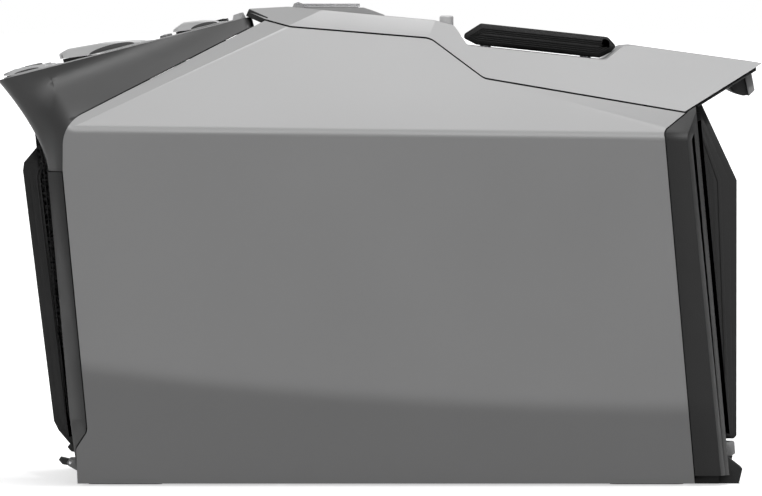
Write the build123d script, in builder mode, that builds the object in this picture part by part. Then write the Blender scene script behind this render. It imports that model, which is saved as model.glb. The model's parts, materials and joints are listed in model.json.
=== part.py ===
from build123d import *
from math import cos, radians, sin
import os

# A portable power station, in millimetres. X runs from the control dash at the front (-X)
# to the vents at the rear (+X), Y runs across, Z up. The origin is under the middle, on the
# floor. The dash slopes: its own coordinates are u (up the slope), v (= Y) and w (outwards).

# ---------------------------------------------------------------- driving dimensions
length = 540.0              # along X, dash rim to rear eave
width = 300.0               # along Y, over the side shells
height = 340.0              # floor to the top of the lash ring
wall = 3.0                  # moulded wall of shells, cowls and frames
foot_height = 1.5           # rubber feet below the shells
seam_gap = 1.2              # open seam between side shells and top cover
reveal = 0.8                # line between the shells and the dark frames
crease_radius = 10.0        # round where each side turns into its shoulder
flare = 4.5                 # outward lip of the shoulders beside the dash
move_gap = 0.3              # between surfaces that move past each other
pin_clearance = 0.05        # running clearance round a pin, on the radius
screw_radius = 2.0


# ---------------------------------------------------------------- stations
def from_front(distance):
    return -length / 2 + distance


def from_rear(distance):
    return length / 2 - distance


def from_top(distance):
    return height - distance


half = width / 2
inner_half = half - wall

# lines seen from the side, each through two (x, z) points
shell_front_line = ((from_front(46.7), from_top(118)), (from_front(64.2), 38.5))
shell_rear_line = ((from_rear(70.1), from_top(95.3)), (from_rear(48.8), foot_height))
crease_line = ((from_front(48), from_top(89)), (from_rear(70), from_top(93.6)))
frame_front_line = ((from_front(35.5), from_top(119.5)), (from_front(51), 47.0))
frame_rear_line = ((from_rear(44.8), from_top(105.5)), (from_rear(26.4), 32.9))
rear_facet_line = ((from_rear(54), from_top(98)), (from_rear(30.7), 11.0))


def x_on(line, z, shift=0.0):
    """X of a side-view line at a height, moved along X by the shift."""
    (x1, z1), (x2, z2) = line
    return x1 + (x2 - x1) * (z - z1) / (z2 - z1) + shift


roof = [
    (from_front(177), from_top(4.7)),
    (from_front(203.5), from_top(3.3)),
    (from_rear(230.8), from_top(13.1)),
    (from_rear(217.5), from_top(16.5)),
    (from_rear(208), from_top(30.6)),
    (from_rear(110.4), from_top(41.1)),
    (from_rear(98), from_top(31.2)),
    (from_rear(90), from_top(30.6)),
    (from_rear(-25), from_top(46.5)),
]
roof_radii = [0, 12, 12, 6, 5, 6, 6, 4, 0]
seam = [
    (from_front(188.1), from_top(13.1)),
    (from_front(206), from_top(18)),
    (from_rear(234.5), from_top(26.1)),
    (from_rear(196.7), from_top(54.3)),
    (from_rear(55.4), from_top(78.1)),
]
seam_radii = [8, 14, 12]
cover_front = from_front(177)
eave_tip = (from_rear(0), from_top(44.6))

# ---------------------------------------------------------------- the dash's own frame
dash_slope = 14.2
dash_origin = (from_front(88.5), 0, from_top(32.8))
dash_x = (cos(radians(dash_slope)), 0, sin(radians(dash_slope)))
dash_up = (-sin(radians(dash_slope)), 0, cos(radians(dash_slope)))
dash = Plane(origin=dash_origin, x_dir=dash_x, z_dir=dash_up)
dash_side = Plane(origin=dash_origin, x_dir=dash_x, z_dir=(0, -1, 0))


# ---------------------------------------------------------------- helpers
def prism(points, y_range, radius=0, mode=Mode.ADD, plane=Plane.XZ):
    """Side-view outline stretched across the body from one Y station to another."""
    with BuildSketch(plane.offset(-y_range[0])) as outline:
        with BuildLine():
            if radius:
                FilletPolyline(*points, radius=radius, close=True)
            else:
                Polyline(*points, close=True)
        make_face()
    extrude(outline.sketch, amount=y_range[0] - y_range[1], mode=mode)


def slab(plane, u_range, v_range, w_range, radius=0, mode=Mode.ADD):
    """Rectangle on a plane, from one height above it to another, corners rounded."""
    centre = (sum(u_range) / 2, sum(v_range) / 2)
    with BuildSketch(plane.offset(w_range[0])) as outline:
        with Locations(centre):
            if radius:
                RectangleRounded(u_range[1] - u_range[0], v_range[1] - v_range[0], radius)
            else:
                Rectangle(u_range[1] - u_range[0], v_range[1] - v_range[0])
    extrude(outline.sketch, amount=w_range[1] - w_range[0], mode=mode)


def block(x_range, y_range, z_range, radius=0, mode=Mode.ADD):
    """Upright box between pairs of X, Y and Z stations."""
    slab(Plane.XY, x_range, y_range, z_range, radius, mode)


def rod(plane, at, radius, w_range, mode=Mode.ADD):
    """Cylinder standing on a plane at one point, between two heights above it."""
    with BuildSketch(plane.offset(w_range[0])) as disc:
        with Locations(at):
            Circle(radius)
    extrude(disc.sketch, amount=w_range[1] - w_range[0], mode=mode)


def both_sides(y):
    return (-y, y)


# ---------------------------------------------------------------- the body's outer envelope
def shoulder_plane(inset):
    """Plane of the shoulder on the +Y side, moved inwards by the inset."""
    (x1, z1), (x2, z2) = crease_line
    normal = Vector(-(z2 - z1) / (x2 - x1), 1, 1).normalized()
    return Plane(origin=Vector(x1, half, z1) - normal * inset, z_dir=normal)


def shoulder_point(x, z, outwards=0):
    """Point on the +Y shoulder at a place seen from the side."""
    plane = shoulder_plane(0)
    run = plane.z_dir.X * (x - plane.origin.X) + plane.z_dir.Z * (z - plane.origin.Z)
    return Vector(x, plane.origin.Y - run / plane.z_dir.Y + outwards, z)


def flare_plane(inset):
    """Plane of the lip where the +Y shoulder turns outwards beside the dash."""
    top = shoulder_point(from_front(202), from_top(18))
    bottom = shoulder_point(from_front(83), from_top(74))
    lip = shoulder_point(from_front(138), from_top(37.2), flare)
    normal = (bottom - top).cross(lip - top).normalized()
    return Plane(origin=top - normal * inset, z_dir=normal)


def side_profile(inset):
    """Long section under the roof line, carried on past the front, the rear and the floor."""
    beyond = 25
    with BuildSketch(Plane.XZ) as profile:
        with BuildLine():
            FilletPolyline(
                (from_front(-beyond), -beyond),
                (from_front(-beyond), roof[0][1]),
                *roof,
                (from_rear(-beyond), -beyond),
                radius=[0, 0, *roof_radii, 0],
                close=True,
            )
        make_face()
        if inset:
            offset(amount=-inset, kind=Kind.INTERSECTION, mode=Mode.REPLACE)
    return profile.sketch


def envelope(inset):
    """Closed solid inside the body's outer surface, the inset below it."""
    with BuildPart() as lip:
        extrude(side_profile(inset), amount=-(half - inset))
        split(bisect_by=shoulder_plane(inset), keep=Keep.TOP)
        split(bisect_by=flare_plane(inset), keep=Keep.BOTTOM)
    with BuildPart() as core:
        extrude(side_profile(inset), amount=-(half - inset))
        split(bisect_by=shoulder_plane(inset), keep=Keep.BOTTOM)
        add(lip.part)
        mirror(about=Plane.XZ)
        creases = core.edges().filter_by(lambda edge: is_crease(edge, half - inset))
        fillet(creases, radius=crease_radius - inset)
    return core.part


def is_crease(edge, side):
    middle = edge.center()
    on_side = abs(abs(middle.Y) - side) < 0.01
    return on_side and edge.length > 15 and from_top(130) < middle.Z < from_top(40)


outer_body = envelope(0)
inner_body = envelope(wall)
with BuildPart() as body_skin:
    add(outer_body)
    add(inner_body, mode=Mode.SUBTRACT)


# ---------------------------------------------------------------- side shells and top cover
def shell_outline():
    """Side shell seen from the side."""
    with BuildSketch(Plane.XZ) as outline:
        with BuildLine():
            FilletPolyline(
                (from_front(57), foot_height),
                (from_front(56), 26),
                shell_front_line[1],
                shell_front_line[0],
                (from_front(47), from_top(85.4)),
                *seam,
                (from_rear(71.2), from_top(90.5)),
                shell_rear_line[0],
                shell_rear_line[1],
                radius=[0, 5, 8, 0, 24, 0, *seam_radii, 0, 6, 0, 0],
                close=True,
            )
        make_face()
    return outline.sketch


with BuildPart() as left_side_shell:
    add(body_skin.part)
    extrude(shell_outline(), amount=width, mode=Mode.INTERSECT)
left_side_shell.part.label = "left_side_shell"

with BuildPart() as right_side_shell:
    mirror(left_side_shell.part, about=Plane.XZ)
right_side_shell.part.label = "right_side_shell"


def cover_outline(drop):
    """Top cover seen from the side, its lower edge moved down by the drop."""
    edge = [(x, z - drop) for x, z in seam]
    with BuildSketch(Plane.XZ) as outline:
        with BuildLine():
            FilletPolyline(
                (cover_front, height + 20),
                (cover_front, from_top(8.2) - drop),
                *edge,
                (eave_tip[0], eave_tip[1] - drop),
                (eave_tip[0], height + 20),
                radius=[0, 0, 0, *seam_radii, 0, 0, 0],
                close=True,
            )
        make_face()
    return outline.sketch


slim_body = envelope(wall + 0.2)
lined_body = envelope(2 * wall)
cavity_body = envelope(2 * wall + 0.2)
with BuildSketch(Plane.XZ) as shell_reveal:
    add(shell_outline())
    offset(amount=reveal, kind=Kind.INTERSECTION, mode=Mode.REPLACE)


# what lies in the shells and the cover; the frames and the cowl are cut clear of it
with BuildPart() as skin_zone:
    extrude(shell_reveal.sketch, amount=width, both=True)
    extrude(cover_outline(0), amount=width, both=True)
    add(slim_body, mode=Mode.SUBTRACT)

# ---------------------------------------------------------------- seam gasket and eave liner
with BuildPart() as seam_gasket:
    add(inner_body)
    add(envelope(wall + 2), mode=Mode.SUBTRACT)
    extrude(cover_outline(5), amount=width, both=True, mode=Mode.INTERSECT)
    extrude(cover_outline(-6), amount=width, both=True, mode=Mode.SUBTRACT)
    block((from_rear(84), from_rear(-30)), both_sides(width), (0, height), mode=Mode.SUBTRACT)
    block((from_front(-5), from_front(190)), both_sides(width), (0, height), mode=Mode.SUBTRACT)
seam_gasket.part.label = "seam_gasket"

liner_drop = 1.4            # how far the liner shows below the eave's edge
with BuildPart() as eave_liner:
    add(inner_body)
    add(lined_body, mode=Mode.SUBTRACT)
    extrude(cover_outline(liner_drop), amount=width, both=True, mode=Mode.INTERSECT)
    block((from_front(0), from_rear(46)), both_sides(width), (0, height), mode=Mode.SUBTRACT)
    block((from_rear(4), from_rear(-30)), both_sides(width), (0, height), mode=Mode.SUBTRACT)
eave_liner.part.label = "eave_liner"

# ---------------------------------------------------------------- front frame
frame_top = frame_front_line[0][1]
corner_depth = 21.0         # how far the front corner facets come in along Y
frame_levels = [
    (frame_top, frame_front_line[0][0], x_on(shell_front_line, frame_top)),
    (47.0, frame_front_line[1][0], x_on(shell_front_line, 47.0)),
    (foot_height + 9, from_front(55.8), from_front(62)),
]


def front_plan(level, side, inset, back):
    """Plan outline of the front frame at one of its levels."""
    z, front_x, corner_x = level
    with BuildSketch(Plane.XY.offset(z)) as plan:
        with BuildLine():
            Polyline(
                (back, side - inset),
                (corner_x + inset / 2, side - inset),
                (front_x + inset, side - corner_depth - inset / 2),
                (front_x + inset, -side + corner_depth + inset / 2),
                (corner_x + inset / 2, -side + inset),
                (back, -side + inset),
                close=True,
            )
        make_face()
    return plan.sketch


def front_block(side, inset, behind):
    levels = [front_plan(level, side, inset, level[2] + behind) for level in frame_levels]
    return loft(levels, ruled=True, mode=Mode.PRIVATE)


with BuildPart() as front_frame:
    add(front_block(half, 0, 6))
    extrude(shell_reveal.sketch, amount=width, both=True, mode=Mode.SUBTRACT)
    add(front_block(inner_half - 0.1, 0, 14))
    add(front_block(inner_half - 0.1, wall, 30), mode=Mode.SUBTRACT)
front_frame.part.label = "front_frame"


# ---------------------------------------------------------------- dash cowl
# depth below the rim, front end u, front half width, shoulder u and half width, rear half width
dash_length = 182.0
dash_sections = [
    (0, -91, half - 7, -53, half - 20.5, half - 76),
    (18.6, -82.7, half - 14, -53, half - 17, half - 59),
    (38.3, -75.9, half - 19, -53, half - 6.5, half - 41),
    (69, -71.9, half - 22, -61, half - 1.8, half - 19),
    (76, -73, half - 22.5, -62, half - 1.2, half - 15),
]


def dash_outline(section, inset):
    """Rounded outline of the dash funnel on one section plane."""
    depth, front_u, front_v, shoulder_u, shoulder_v, rear_v = section
    rear_u = dash_length / 2
    with BuildSketch(dash.offset(-depth)) as outline:
        with BuildLine():
            FilletPolyline(
                (front_u, front_v),
                (shoulder_u, shoulder_v),
                (rear_u, rear_v),
                (rear_u, -rear_v),
                (shoulder_u, -shoulder_v),
                (front_u, -front_v),
                radius=[10, 20, 8, 8, 20, 10],
                close=True,
            )
        make_face()
        if inset:
            offset(amount=-inset, kind=Kind.INTERSECTION, mode=Mode.REPLACE)
    return outline.sketch


def dash_funnel(inset):
    return loft([dash_outline(section, inset) for section in dash_sections], mode=Mode.PRIVATE)


panel_face = 0.8            # the panel's face, proud of the cowl's rim
panel_gap = 1.6             # dark line between the panel and the cowl's rim
panel_thickness = 3.0
panel_back = panel_face - panel_thickness
ledge_depth = 3.0
ledge_width = 2.5

with BuildPart() as dash_ledge:
    add(dash_funnel(1))
    slab(dash, both_sides(dash_length), both_sides(half), (-100, panel_back - ledge_depth),
         mode=Mode.SUBTRACT)
    slab(dash, both_sides(dash_length), both_sides(half), (panel_back, 10), mode=Mode.SUBTRACT)
    extrude(dash_outline(dash_sections[0], wall + ledge_width), amount=-20, mode=Mode.SUBTRACT)

with BuildPart() as dash_cowl:
    add(dash_funnel(0))
    add(dash_funnel(wall), mode=Mode.SUBTRACT)
    add(dash_ledge.part)
    block(both_sides(length), both_sides(width), (0, frame_top + 0.5), mode=Mode.SUBTRACT)
    add(skin_zone.part, mode=Mode.SUBTRACT)
dash_cowl.part.label = "dash_cowl"

# ---------------------------------------------------------------- control panel and its flaps
hinge_w = panel_face - 1.6  # hinge axes lie below the panel's face
hinge_pin_radius = 1.25
knuckle_radius = 2.2
lug_width = 6.0
hinge_relief = 3.6          # opening behind the hinge axis, for the arm when the flap is open
flap_wall = 1.8
flap_rest = panel_face + move_gap

# each kind of flap: u of the tip, u of the hinge, the top's (u, w) points from the tip on,
# the tip's underside, where the wedge of the gasket ends, opening's lower u, width
ac_kind = (-46, 16.5, [(-46, 7.6), (-38.3, 9.7), (-15.3, 8.1), (3.8, 4.5)], 3.9, -20, -37.5, 58.0)
port_kind = (36, 73.5, [(36, 4.2), (45, 7.7), (55.3, 6.4), (66, 3.4)], 2.8, 50, 42, 46.0)
input_kind = (-86.5, -52.3, [(-86.5, 3.4), (-77, 4.8), (-66, 3.9), (-58, 3.0)], 2.0, -80, -81, 66.0)
ac_centres = (-64.0, 0.0, 64.0)
port_centre = 51.0
input_centre = 85.0
flaps = [
    ("ac_flap_1", ac_kind, ac_centres[0]),
    ("ac_flap_2", ac_kind, ac_centres[1]),
    ("ac_flap_3", ac_kind, ac_centres[2]),
    ("dc_flap", port_kind, -port_centre),
    ("usb_flap", port_kind, port_centre),
    ("input_flap", input_kind, -input_centre),
    ("solar_flap", input_kind, input_centre),
]
button_u = 29.0
pill_size = (7.5, 22.0)
pill_centres = (-30.0, 30.0)
pod_u = (-84.0, -57.0)
pod_face = panel_face + 2.8
round_button_radius = 8.0
round_button_u = -70.5
round_button_centres = (-20.0, 20.0)
display_u = (38.0, 75.0)
display_half = 23.0

with BuildPart() as control_panel:
    extrude(dash_outline(dash_sections[0], wall + panel_gap), amount=panel_face)
    extrude(dash_outline(dash_sections[0], wall + panel_gap), amount=panel_back)
    slab(dash, pod_u, both_sides(46), (0, pod_face), radius=6)
    prism([(78.5, 0), (80.5, panel_face + 3.2), (86, panel_face + 3.6), (87, 0)],
          both_sides(half - 90), plane=dash_side)
    for name, kind, centre in flaps:
        tip_u, hinge_u, top, tip_w, wedge_u, open_u, flap_width = kind
        lug_outer = flap_width / 2
        slab(dash, (open_u, hinge_u + hinge_relief),
             (centre - lug_outer + lug_width, centre + lug_outer - lug_width),
             (-10, 10), mode=Mode.SUBTRACT)
        for side in (-1, 1):
            lug = sorted((centre + side * lug_outer, centre + side * (lug_outer - lug_width)))
            slab(dash, (hinge_u - 3.2, hinge_u + 3.2), lug, (hinge_w - 3.4, 0))
            rod(dash_side, (hinge_u, hinge_w), hinge_pin_radius, (-lug[1], -lug[0]),
                mode=Mode.SUBTRACT)
    for centre in pill_centres:
        slab(dash, (button_u - pill_size[0] / 2 - move_gap, button_u + pill_size[0] / 2 + move_gap),
             (centre - pill_size[1] / 2 - move_gap, centre + pill_size[1] / 2 + move_gap),
             (-10, 10), radius=pill_size[0] / 2, mode=Mode.SUBTRACT)
    for centre in round_button_centres:
        rod(dash, (round_button_u, centre), round_button_radius + move_gap, (-10, 10),
            mode=Mode.SUBTRACT)
    slab(dash, (display_u[0] + 2, display_u[1] - 2), both_sides(display_half - 2), (-10, 10),
         mode=Mode.SUBTRACT)
control_panel.part.label = "control_panel"


def flap_top(kind, drop):
    """Top edge of a flap from the tip to the hinge, lowered by the drop."""
    tip_u, hinge_u, top, tip_w, wedge_u, open_u, flap_width = kind
    return [(u, w - drop) for u, w in top] + [(hinge_u, hinge_w + knuckle_radius - drop)]


flap_parts = []
for name, kind, centre in flaps:
    tip_u, hinge_u, top, tip_w, wedge_u, open_u, flap_width = kind
    sides = (centre - flap_width / 2, centre + flap_width / 2)
    knuckle = (sides[0] + lug_width + move_gap, sides[1] - lug_width - move_gap)
    shoulder_u = hinge_u - 4.2
    with BuildPart() as flap:
        prism([*flap_top(kind, 0), (shoulder_u, flap_rest), (wedge_u, flap_rest), (tip_u, tip_w)],
              sides, plane=dash_side)
        slab(dash, (tip_u, hinge_u + 20), sides, (-20, 20), radius=7, mode=Mode.INTERSECT)
        slab(dash, (shoulder_u, hinge_u + 5), (sides[0] - 1, sides[1] + 1), (-20, 20),
             mode=Mode.SUBTRACT)
        prism([(tip_u + flap_wall, flap_top(kind, flap_wall)[0][1] + 0.6),
               *flap_top(kind, flap_wall)[1:-2], (wedge_u + 12, flap_rest - 0.1), (wedge_u, -5),
               (tip_u + flap_wall, -5)],
              (sides[0] + flap_wall, sides[1] - flap_wall), mode=Mode.SUBTRACT, plane=dash_side)
        prism([(shoulder_u - 3, flap_rest), (shoulder_u, flap_rest), (hinge_u - 1, hinge_w - 1),
               (hinge_u, hinge_w + knuckle_radius), (shoulder_u, hinge_w + knuckle_radius + 0.6),
               (shoulder_u - 3, hinge_w + knuckle_radius + 0.9)], knuckle, plane=dash_side)
        rod(dash_side, (hinge_u, hinge_w), knuckle_radius, (-knuckle[1], -knuckle[0]))
        rod(dash_side, (hinge_u, hinge_w), hinge_pin_radius + pin_clearance,
            (-sides[1], -sides[0]), mode=Mode.SUBTRACT)
    flap.part.label = name
    flap_parts.append(flap)

with BuildPart() as flap_pins:
    for name, kind, centre in flaps:
        pin_half = kind[6] / 2 - 0.5
        rod(dash_side, (kind[1], hinge_w), hinge_pin_radius, (-centre - pin_half, -centre + pin_half))
flap_pins.part.label = "flap_pins"

with BuildPart() as flap_gaskets:
    for name, kind, centre in flaps:
        tip_u, hinge_u, top, tip_w, wedge_u, open_u, flap_width = kind
        outer = flap_width / 2 - 1.5
        start = tip_u + 2
        start_w = tip_w - move_gap - (tip_w - flap_rest) * 2 / (wedge_u - tip_u)
        prism([(start, panel_face), (start, start_w), (wedge_u - 2, panel_face)],
              (centre - outer, centre + outer), plane=dash_side)
        slab(dash, (open_u - 1.5, wedge_u + 5), (centre - outer + 3, centre + outer - 3), (-5, 20),
             mode=Mode.SUBTRACT)
flap_gaskets.part.label = "flap_gaskets"

# ---------------------------------------------------------------- sockets and ports
socket_face = panel_face - 0.6
socket_well_radius = 19.5
socket_well_depth = 17.5
socket_u = -14.5
socket_half = 22.8

with BuildPart() as ac_sockets:
    for centre in ac_centres:
        slab(dash, (socket_u - socket_half, socket_u + socket_half),
             (centre - socket_half, centre + socket_half), (socket_face - 34, socket_face), radius=4)
        rod(dash, (socket_u, centre), socket_well_radius,
            (socket_face - socket_well_depth, socket_face + 5), mode=Mode.SUBTRACT)
        for pin_u in (socket_u - 9.5, socket_u + 9.5):
            rod(dash, (pin_u, centre), 2.6, (socket_face - socket_well_depth - 12, socket_face),
                mode=Mode.SUBTRACT)
ac_sockets.part.label = "ac_sockets"

port_u = (42.5, 69.0)
port_half = 16.6
car_socket_radius = 10.6
with BuildPart() as dc_port_module:
    slab(dash, port_u, (-port_centre - port_half, -port_centre + port_half),
         (socket_face - 40, socket_face), radius=2)
    rod(dash, (sum(port_u) / 2, -port_centre), car_socket_radius, (socket_face - 34, socket_face + 5),
        mode=Mode.SUBTRACT)
    rod(dash, (sum(port_u) / 2, -port_centre), 2.5, (socket_face - 36, socket_face - 29))
dc_port_module.part.label = "dc_port_module"

usb_a_size = (13.6, 6.2)
usb_c_size = (9.2, 3.4)
usb_rows = (port_centre - 10.5, port_centre, port_centre + 10.5)
with BuildPart() as usb_port_module:
    slab(dash, port_u, (port_centre - port_half, port_centre + port_half),
         (socket_face - 22, socket_face), radius=2)
    for row in (usb_rows[0], usb_rows[2]):
        slab(dash, (48.5, 48.5 + usb_a_size[0]), (row - usb_a_size[1] / 2, row + usb_a_size[1] / 2),
             (socket_face - 13, socket_face + 1), mode=Mode.SUBTRACT)
    for start in (44.5, 57.0):
        slab(dash, (start, start + usb_c_size[0]),
             (usb_rows[1] - usb_c_size[1] / 2, usb_rows[1] + usb_c_size[1] / 2),
             (socket_face - 8, socket_face + 1), radius=1.6, mode=Mode.SUBTRACT)
usb_port_module.part.label = "usb_port_module"

inlet_u = (-77.0, -58.0)
inlet_depth = 18.0
inlet_half = 26.6
with BuildPart() as input_ports:
    for centre in both_sides(input_centre):
        slab(dash, inlet_u, (centre - inlet_half, centre + inlet_half),
             (socket_face - inlet_depth, socket_face), radius=3)
    slab(dash, (-75.5, -59.5), (-input_centre - 13.5, -input_centre + 13.5),
         (socket_face - 15, socket_face + 1), radius=2, mode=Mode.SUBTRACT)
    for blade in (-8, 0, 8):
        slab(dash, (-73.4, -71.4), (-input_centre + blade - 3, -input_centre + blade + 3),
             (socket_face - 16, socket_face - 4))
    for offset_v in (-12, 12):
        slab(dash, (-73.2, -61.8), (input_centre + offset_v - 8, input_centre + offset_v + 8),
             (socket_face - 13, socket_face + 1), radius=3, mode=Mode.SUBTRACT)
input_ports.part.label = "input_ports"

# ---------------------------------------------------------------- display, board and buttons
with BuildPart() as display:
    slab(dash, display_u, both_sides(display_half), (panel_face, panel_face + 2.2), radius=4)
    slab(dash, (display_u[0] + 2.3, display_u[1] - 2.3), both_sides(display_half - 2.3),
         (panel_back - 6, panel_face))
display.part.label = "display"

board_w = -47.0
board_u = (-58.0, 60.0)
board_posts = [(-30, -32), (-30, 32), (34, -72), (34, 72)]
with BuildPart() as control_board:
    slab(dash, board_u, both_sides(80), (board_w - 1.6, board_w), radius=3)
    for place in board_posts:
        rod(dash, place, 3, (board_w, panel_back))
    for u in (-48, -14, 20):
        for v in (-50, 0, 50):
            slab(dash, (u, u + 14), (v - 8, v + 8), (board_w - 4.5, board_w - 1.6))
control_board.part.label = "control_board"

press_travel = 1.2
buttons = []
for name, centre in (("ac_button", pill_centres[0]), ("dc_button", pill_centres[1])):
    with BuildPart() as pill:
        slab(dash, (button_u - pill_size[0] / 2, button_u + pill_size[0] / 2),
             (centre - pill_size[1] / 2, centre + pill_size[1] / 2),
             (panel_back - 1, panel_face + 1.7), radius=pill_size[0] / 2 - 0.01)
        fillet(pill.faces().sort_by(Axis((0, 0, 0), dash_up))[-1].edges(), radius=0.9)
        slab(dash, (button_u - 5, button_u + 5), (centre - 12.5, centre + 12.5),
             (panel_back - 2, panel_back - 0.1))
        slab(dash, (button_u - 2, button_u + 2), (centre - 6, centre + 6),
             (panel_back - 5, panel_back - 1))
    pill.part.label = name
    buttons.append(pill)
for name, centre in (("power_button", round_button_centres[0]), ("light_button", round_button_centres[1])):
    with BuildPart() as knob:
        rod(dash, (round_button_u, centre), round_button_radius, (panel_back - 1, pod_face + 1.4))
        fillet(knob.faces().sort_by(Axis((0, 0, 0), dash_up))[-1].edges(), radius=1.0)
        rod(dash, (round_button_u, centre), round_button_radius + 1.5,
            (panel_back - 2, panel_back - 0.1))
    knob.part.label = name
    buttons.append(knob)

# ---------------------------------------------------------------- front bumper
bumper_top = from_top(98.2)
bumper_layers = [(0, 105.0), (5.0, 112.0), (9.6, 118.0)]   # depth below the face, half width

with BuildPart() as front_bumper:
    for depth, half_span in bumper_layers:
        prism([
            (x_on(frame_front_line, bumper_top, 8), bumper_top - depth * 0.8),
            (x_on(frame_front_line, bumper_top, -3) + depth * 0.6, bumper_top - depth * 0.8),
            (x_on(frame_front_line, from_top(113.2), -17) + depth, from_top(113.2) - depth * 0.5),
            (x_on(frame_front_line, from_top(119.2), -18.3) + depth, from_top(119.2) - depth * 0.5),
            (x_on(frame_front_line, 43.7, -12.3) + depth * 0.8, 43.7 + depth * 0.6),
            (x_on(frame_front_line, 37, -9.5) + depth * 0.6, 37 + depth * 0.8),
            (x_on(frame_front_line, 25.2, -0.5), 25.2 + depth * 0.9),
            (x_on(frame_front_line, 25.2, 8), 25.2 + depth * 0.9),
        ], both_sides(half_span - (half - 150)))
    add(front_block(half, 0, 30), mode=Mode.SUBTRACT)
    add(dash_funnel(0), mode=Mode.SUBTRACT)
front_bumper.part.label = "front_bumper"

# ---------------------------------------------------------------- fans' places
fan_size = 80.0
fan_depth = 25.0
fan_bore = 37.5
fan_centre_z = from_top(136)
fan_centres_y = (-55.0, 55.0)
fan_rear = x_on(frame_rear_line, fan_centre_z + fan_size / 2) - wall - 0.5
fan_plane = Plane(origin=(fan_rear, 0, 0), x_dir=(0, 1, 0), z_dir=(1, 0, 0))

# ---------------------------------------------------------------- rear frame
rear_bottom = 7.0
rear_top = from_top(42)
with BuildPart() as rear_cavity:
    add(cavity_body)
    prism([
        (from_rear(150), -20), (x_on(frame_rear_line, -20, -wall), -20),
        (x_on(frame_rear_line, height, -wall), height), (from_rear(150), height),
    ], both_sides(half), mode=Mode.INTERSECT)


def rear_facet(side):
    """Plane of the facet between a flank of the rear frame and its back."""
    low_z, high_z = 11.0, from_top(98)
    low = Vector(x_on(rear_facet_line, low_z), side * half, low_z)
    high = Vector(x_on(rear_facet_line, high_z), side * half, high_z)
    inner = Vector(x_on(frame_rear_line, low_z), side * (half - 12), low_z)
    normal = (high - low).cross(inner - low).normalized()
    if normal.X < 0:
        normal = normal * -1
    return Plane(origin=low, z_dir=normal)


with BuildPart() as rear_frame:
    prism([
        (x_on(shell_rear_line, rear_bottom, -10), rear_bottom),
        (x_on(frame_rear_line, rear_bottom), rear_bottom),
        (x_on(frame_rear_line, rear_top), rear_top),
        (x_on(shell_rear_line, rear_top, -10), rear_top),
    ], both_sides(half))
    add(outer_body, mode=Mode.INTERSECT)
    add(skin_zone.part, mode=Mode.SUBTRACT)
    for side in (-1, 1):
        split(bisect_by=rear_facet(side), keep=Keep.BOTTOM)
    add(rear_cavity.part, mode=Mode.SUBTRACT)
    for y in fan_centres_y:
        rod(fan_plane, (y, fan_centre_z), fan_bore, (-5, 20), mode=Mode.SUBTRACT)
rear_frame.part.label = "rear_frame"

# ---------------------------------------------------------------- rear vent cowl
vent_x = from_rear(17.5)
vent_top = from_top(72)
vent_layers = [(0, 96.0), (6.0, 105.0), (12.0, 113.0)]      # depth below the face, half width
slot_width = 5.0
slot_pitch = 13.0


def vent_profile(depth):
    """Side view of one layer of the vent cowl, its face moved forward by the depth."""
    return [
        (x_on(frame_rear_line, vent_top), vent_top - depth),
        (from_rear(42.5) - depth * 0.2, vent_top - depth),
        (vent_x - depth, from_top(126)),
        (vent_x - depth * 0.45, 33 + depth * 0.4),
        (vent_x - 2 - depth * 0.45, 30.8 + depth * 0.4),
        (x_on(frame_rear_line, 30.8), 30.8 + depth * 0.4),
    ]


with BuildPart() as vent_cavity:
    prism([(x - wall, z + (wall if z < height / 2 else -wall)) for x, z in vent_profile(0)],
          both_sides(93))
with BuildPart() as rear_behind:
    prism([
        (from_rear(120), 0), (x_on(frame_rear_line, 0), 0),
        (x_on(frame_rear_line, height), height), (from_rear(120), height),
    ], both_sides(half))
with BuildPart() as rear_vent_cowl:
    for depth, half_span in vent_layers:
        prism(vent_profile(depth), both_sides(half_span))
    add(vent_cavity.part, mode=Mode.SUBTRACT)
    for step in range(-6, 7):
        block((vent_x - 10, vent_x + 5), (step * slot_pitch - slot_width / 2,
              step * slot_pitch + slot_width / 2), (64, from_top(140)), mode=Mode.SUBTRACT)
    add(rear_behind.part, mode=Mode.SUBTRACT)
rear_vent_cowl.part.label = "rear_vent_cowl"

# ---------------------------------------------------------------- rear grab lip
with BuildPart() as rear_grab_lip:
    prism([
        (from_rear(12.8), from_top(47)), (from_rear(7.5), from_top(47)),
        (from_rear(4.6), from_top(62.3)), (from_rear(8.6), from_top(66.4)),
    ], both_sides(88))
    add(lined_body, mode=Mode.INTERSECT)
rear_grab_lip.part.label = "rear_grab_lip"

with BuildPart() as rear_grab_pad:
    prism([
        (from_rear(23), from_top(40)), (from_rear(12.8), from_top(40)),
        (from_rear(12.8), from_top(47)), (from_rear(8.9), from_top(65.8)),
        (from_rear(13), from_top(66.4)), (from_rear(18.5), from_top(64)),
        (from_rear(23.5), from_top(57)),
    ], both_sides(84), radius=[0, 0, 0, 0, 1.5, 3, 3])
    add(lined_body, mode=Mode.INTERSECT)
    add(rear_grab_lip.part, mode=Mode.SUBTRACT)
rear_grab_pad.part.label = "rear_grab_pad"

# ---------------------------------------------------------------- base tray, feet and sill
floor_bottom = foot_height
floor_top = foot_height + wall
tray_front = x_on(shell_front_line, 38.5, 0) + 1
tray_rear = x_on(shell_rear_line, foot_height, 0)
tray_half = inner_half - 0.1
foot_places = [(from_front(90), half - 35), (from_rear(82), half - 35)]
foot_size = (52.0, 26.0)
screw_places = [(from_front(72), half - 12), (from_front(200), half - 12), (from_rear(56), half - 12)]

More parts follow.
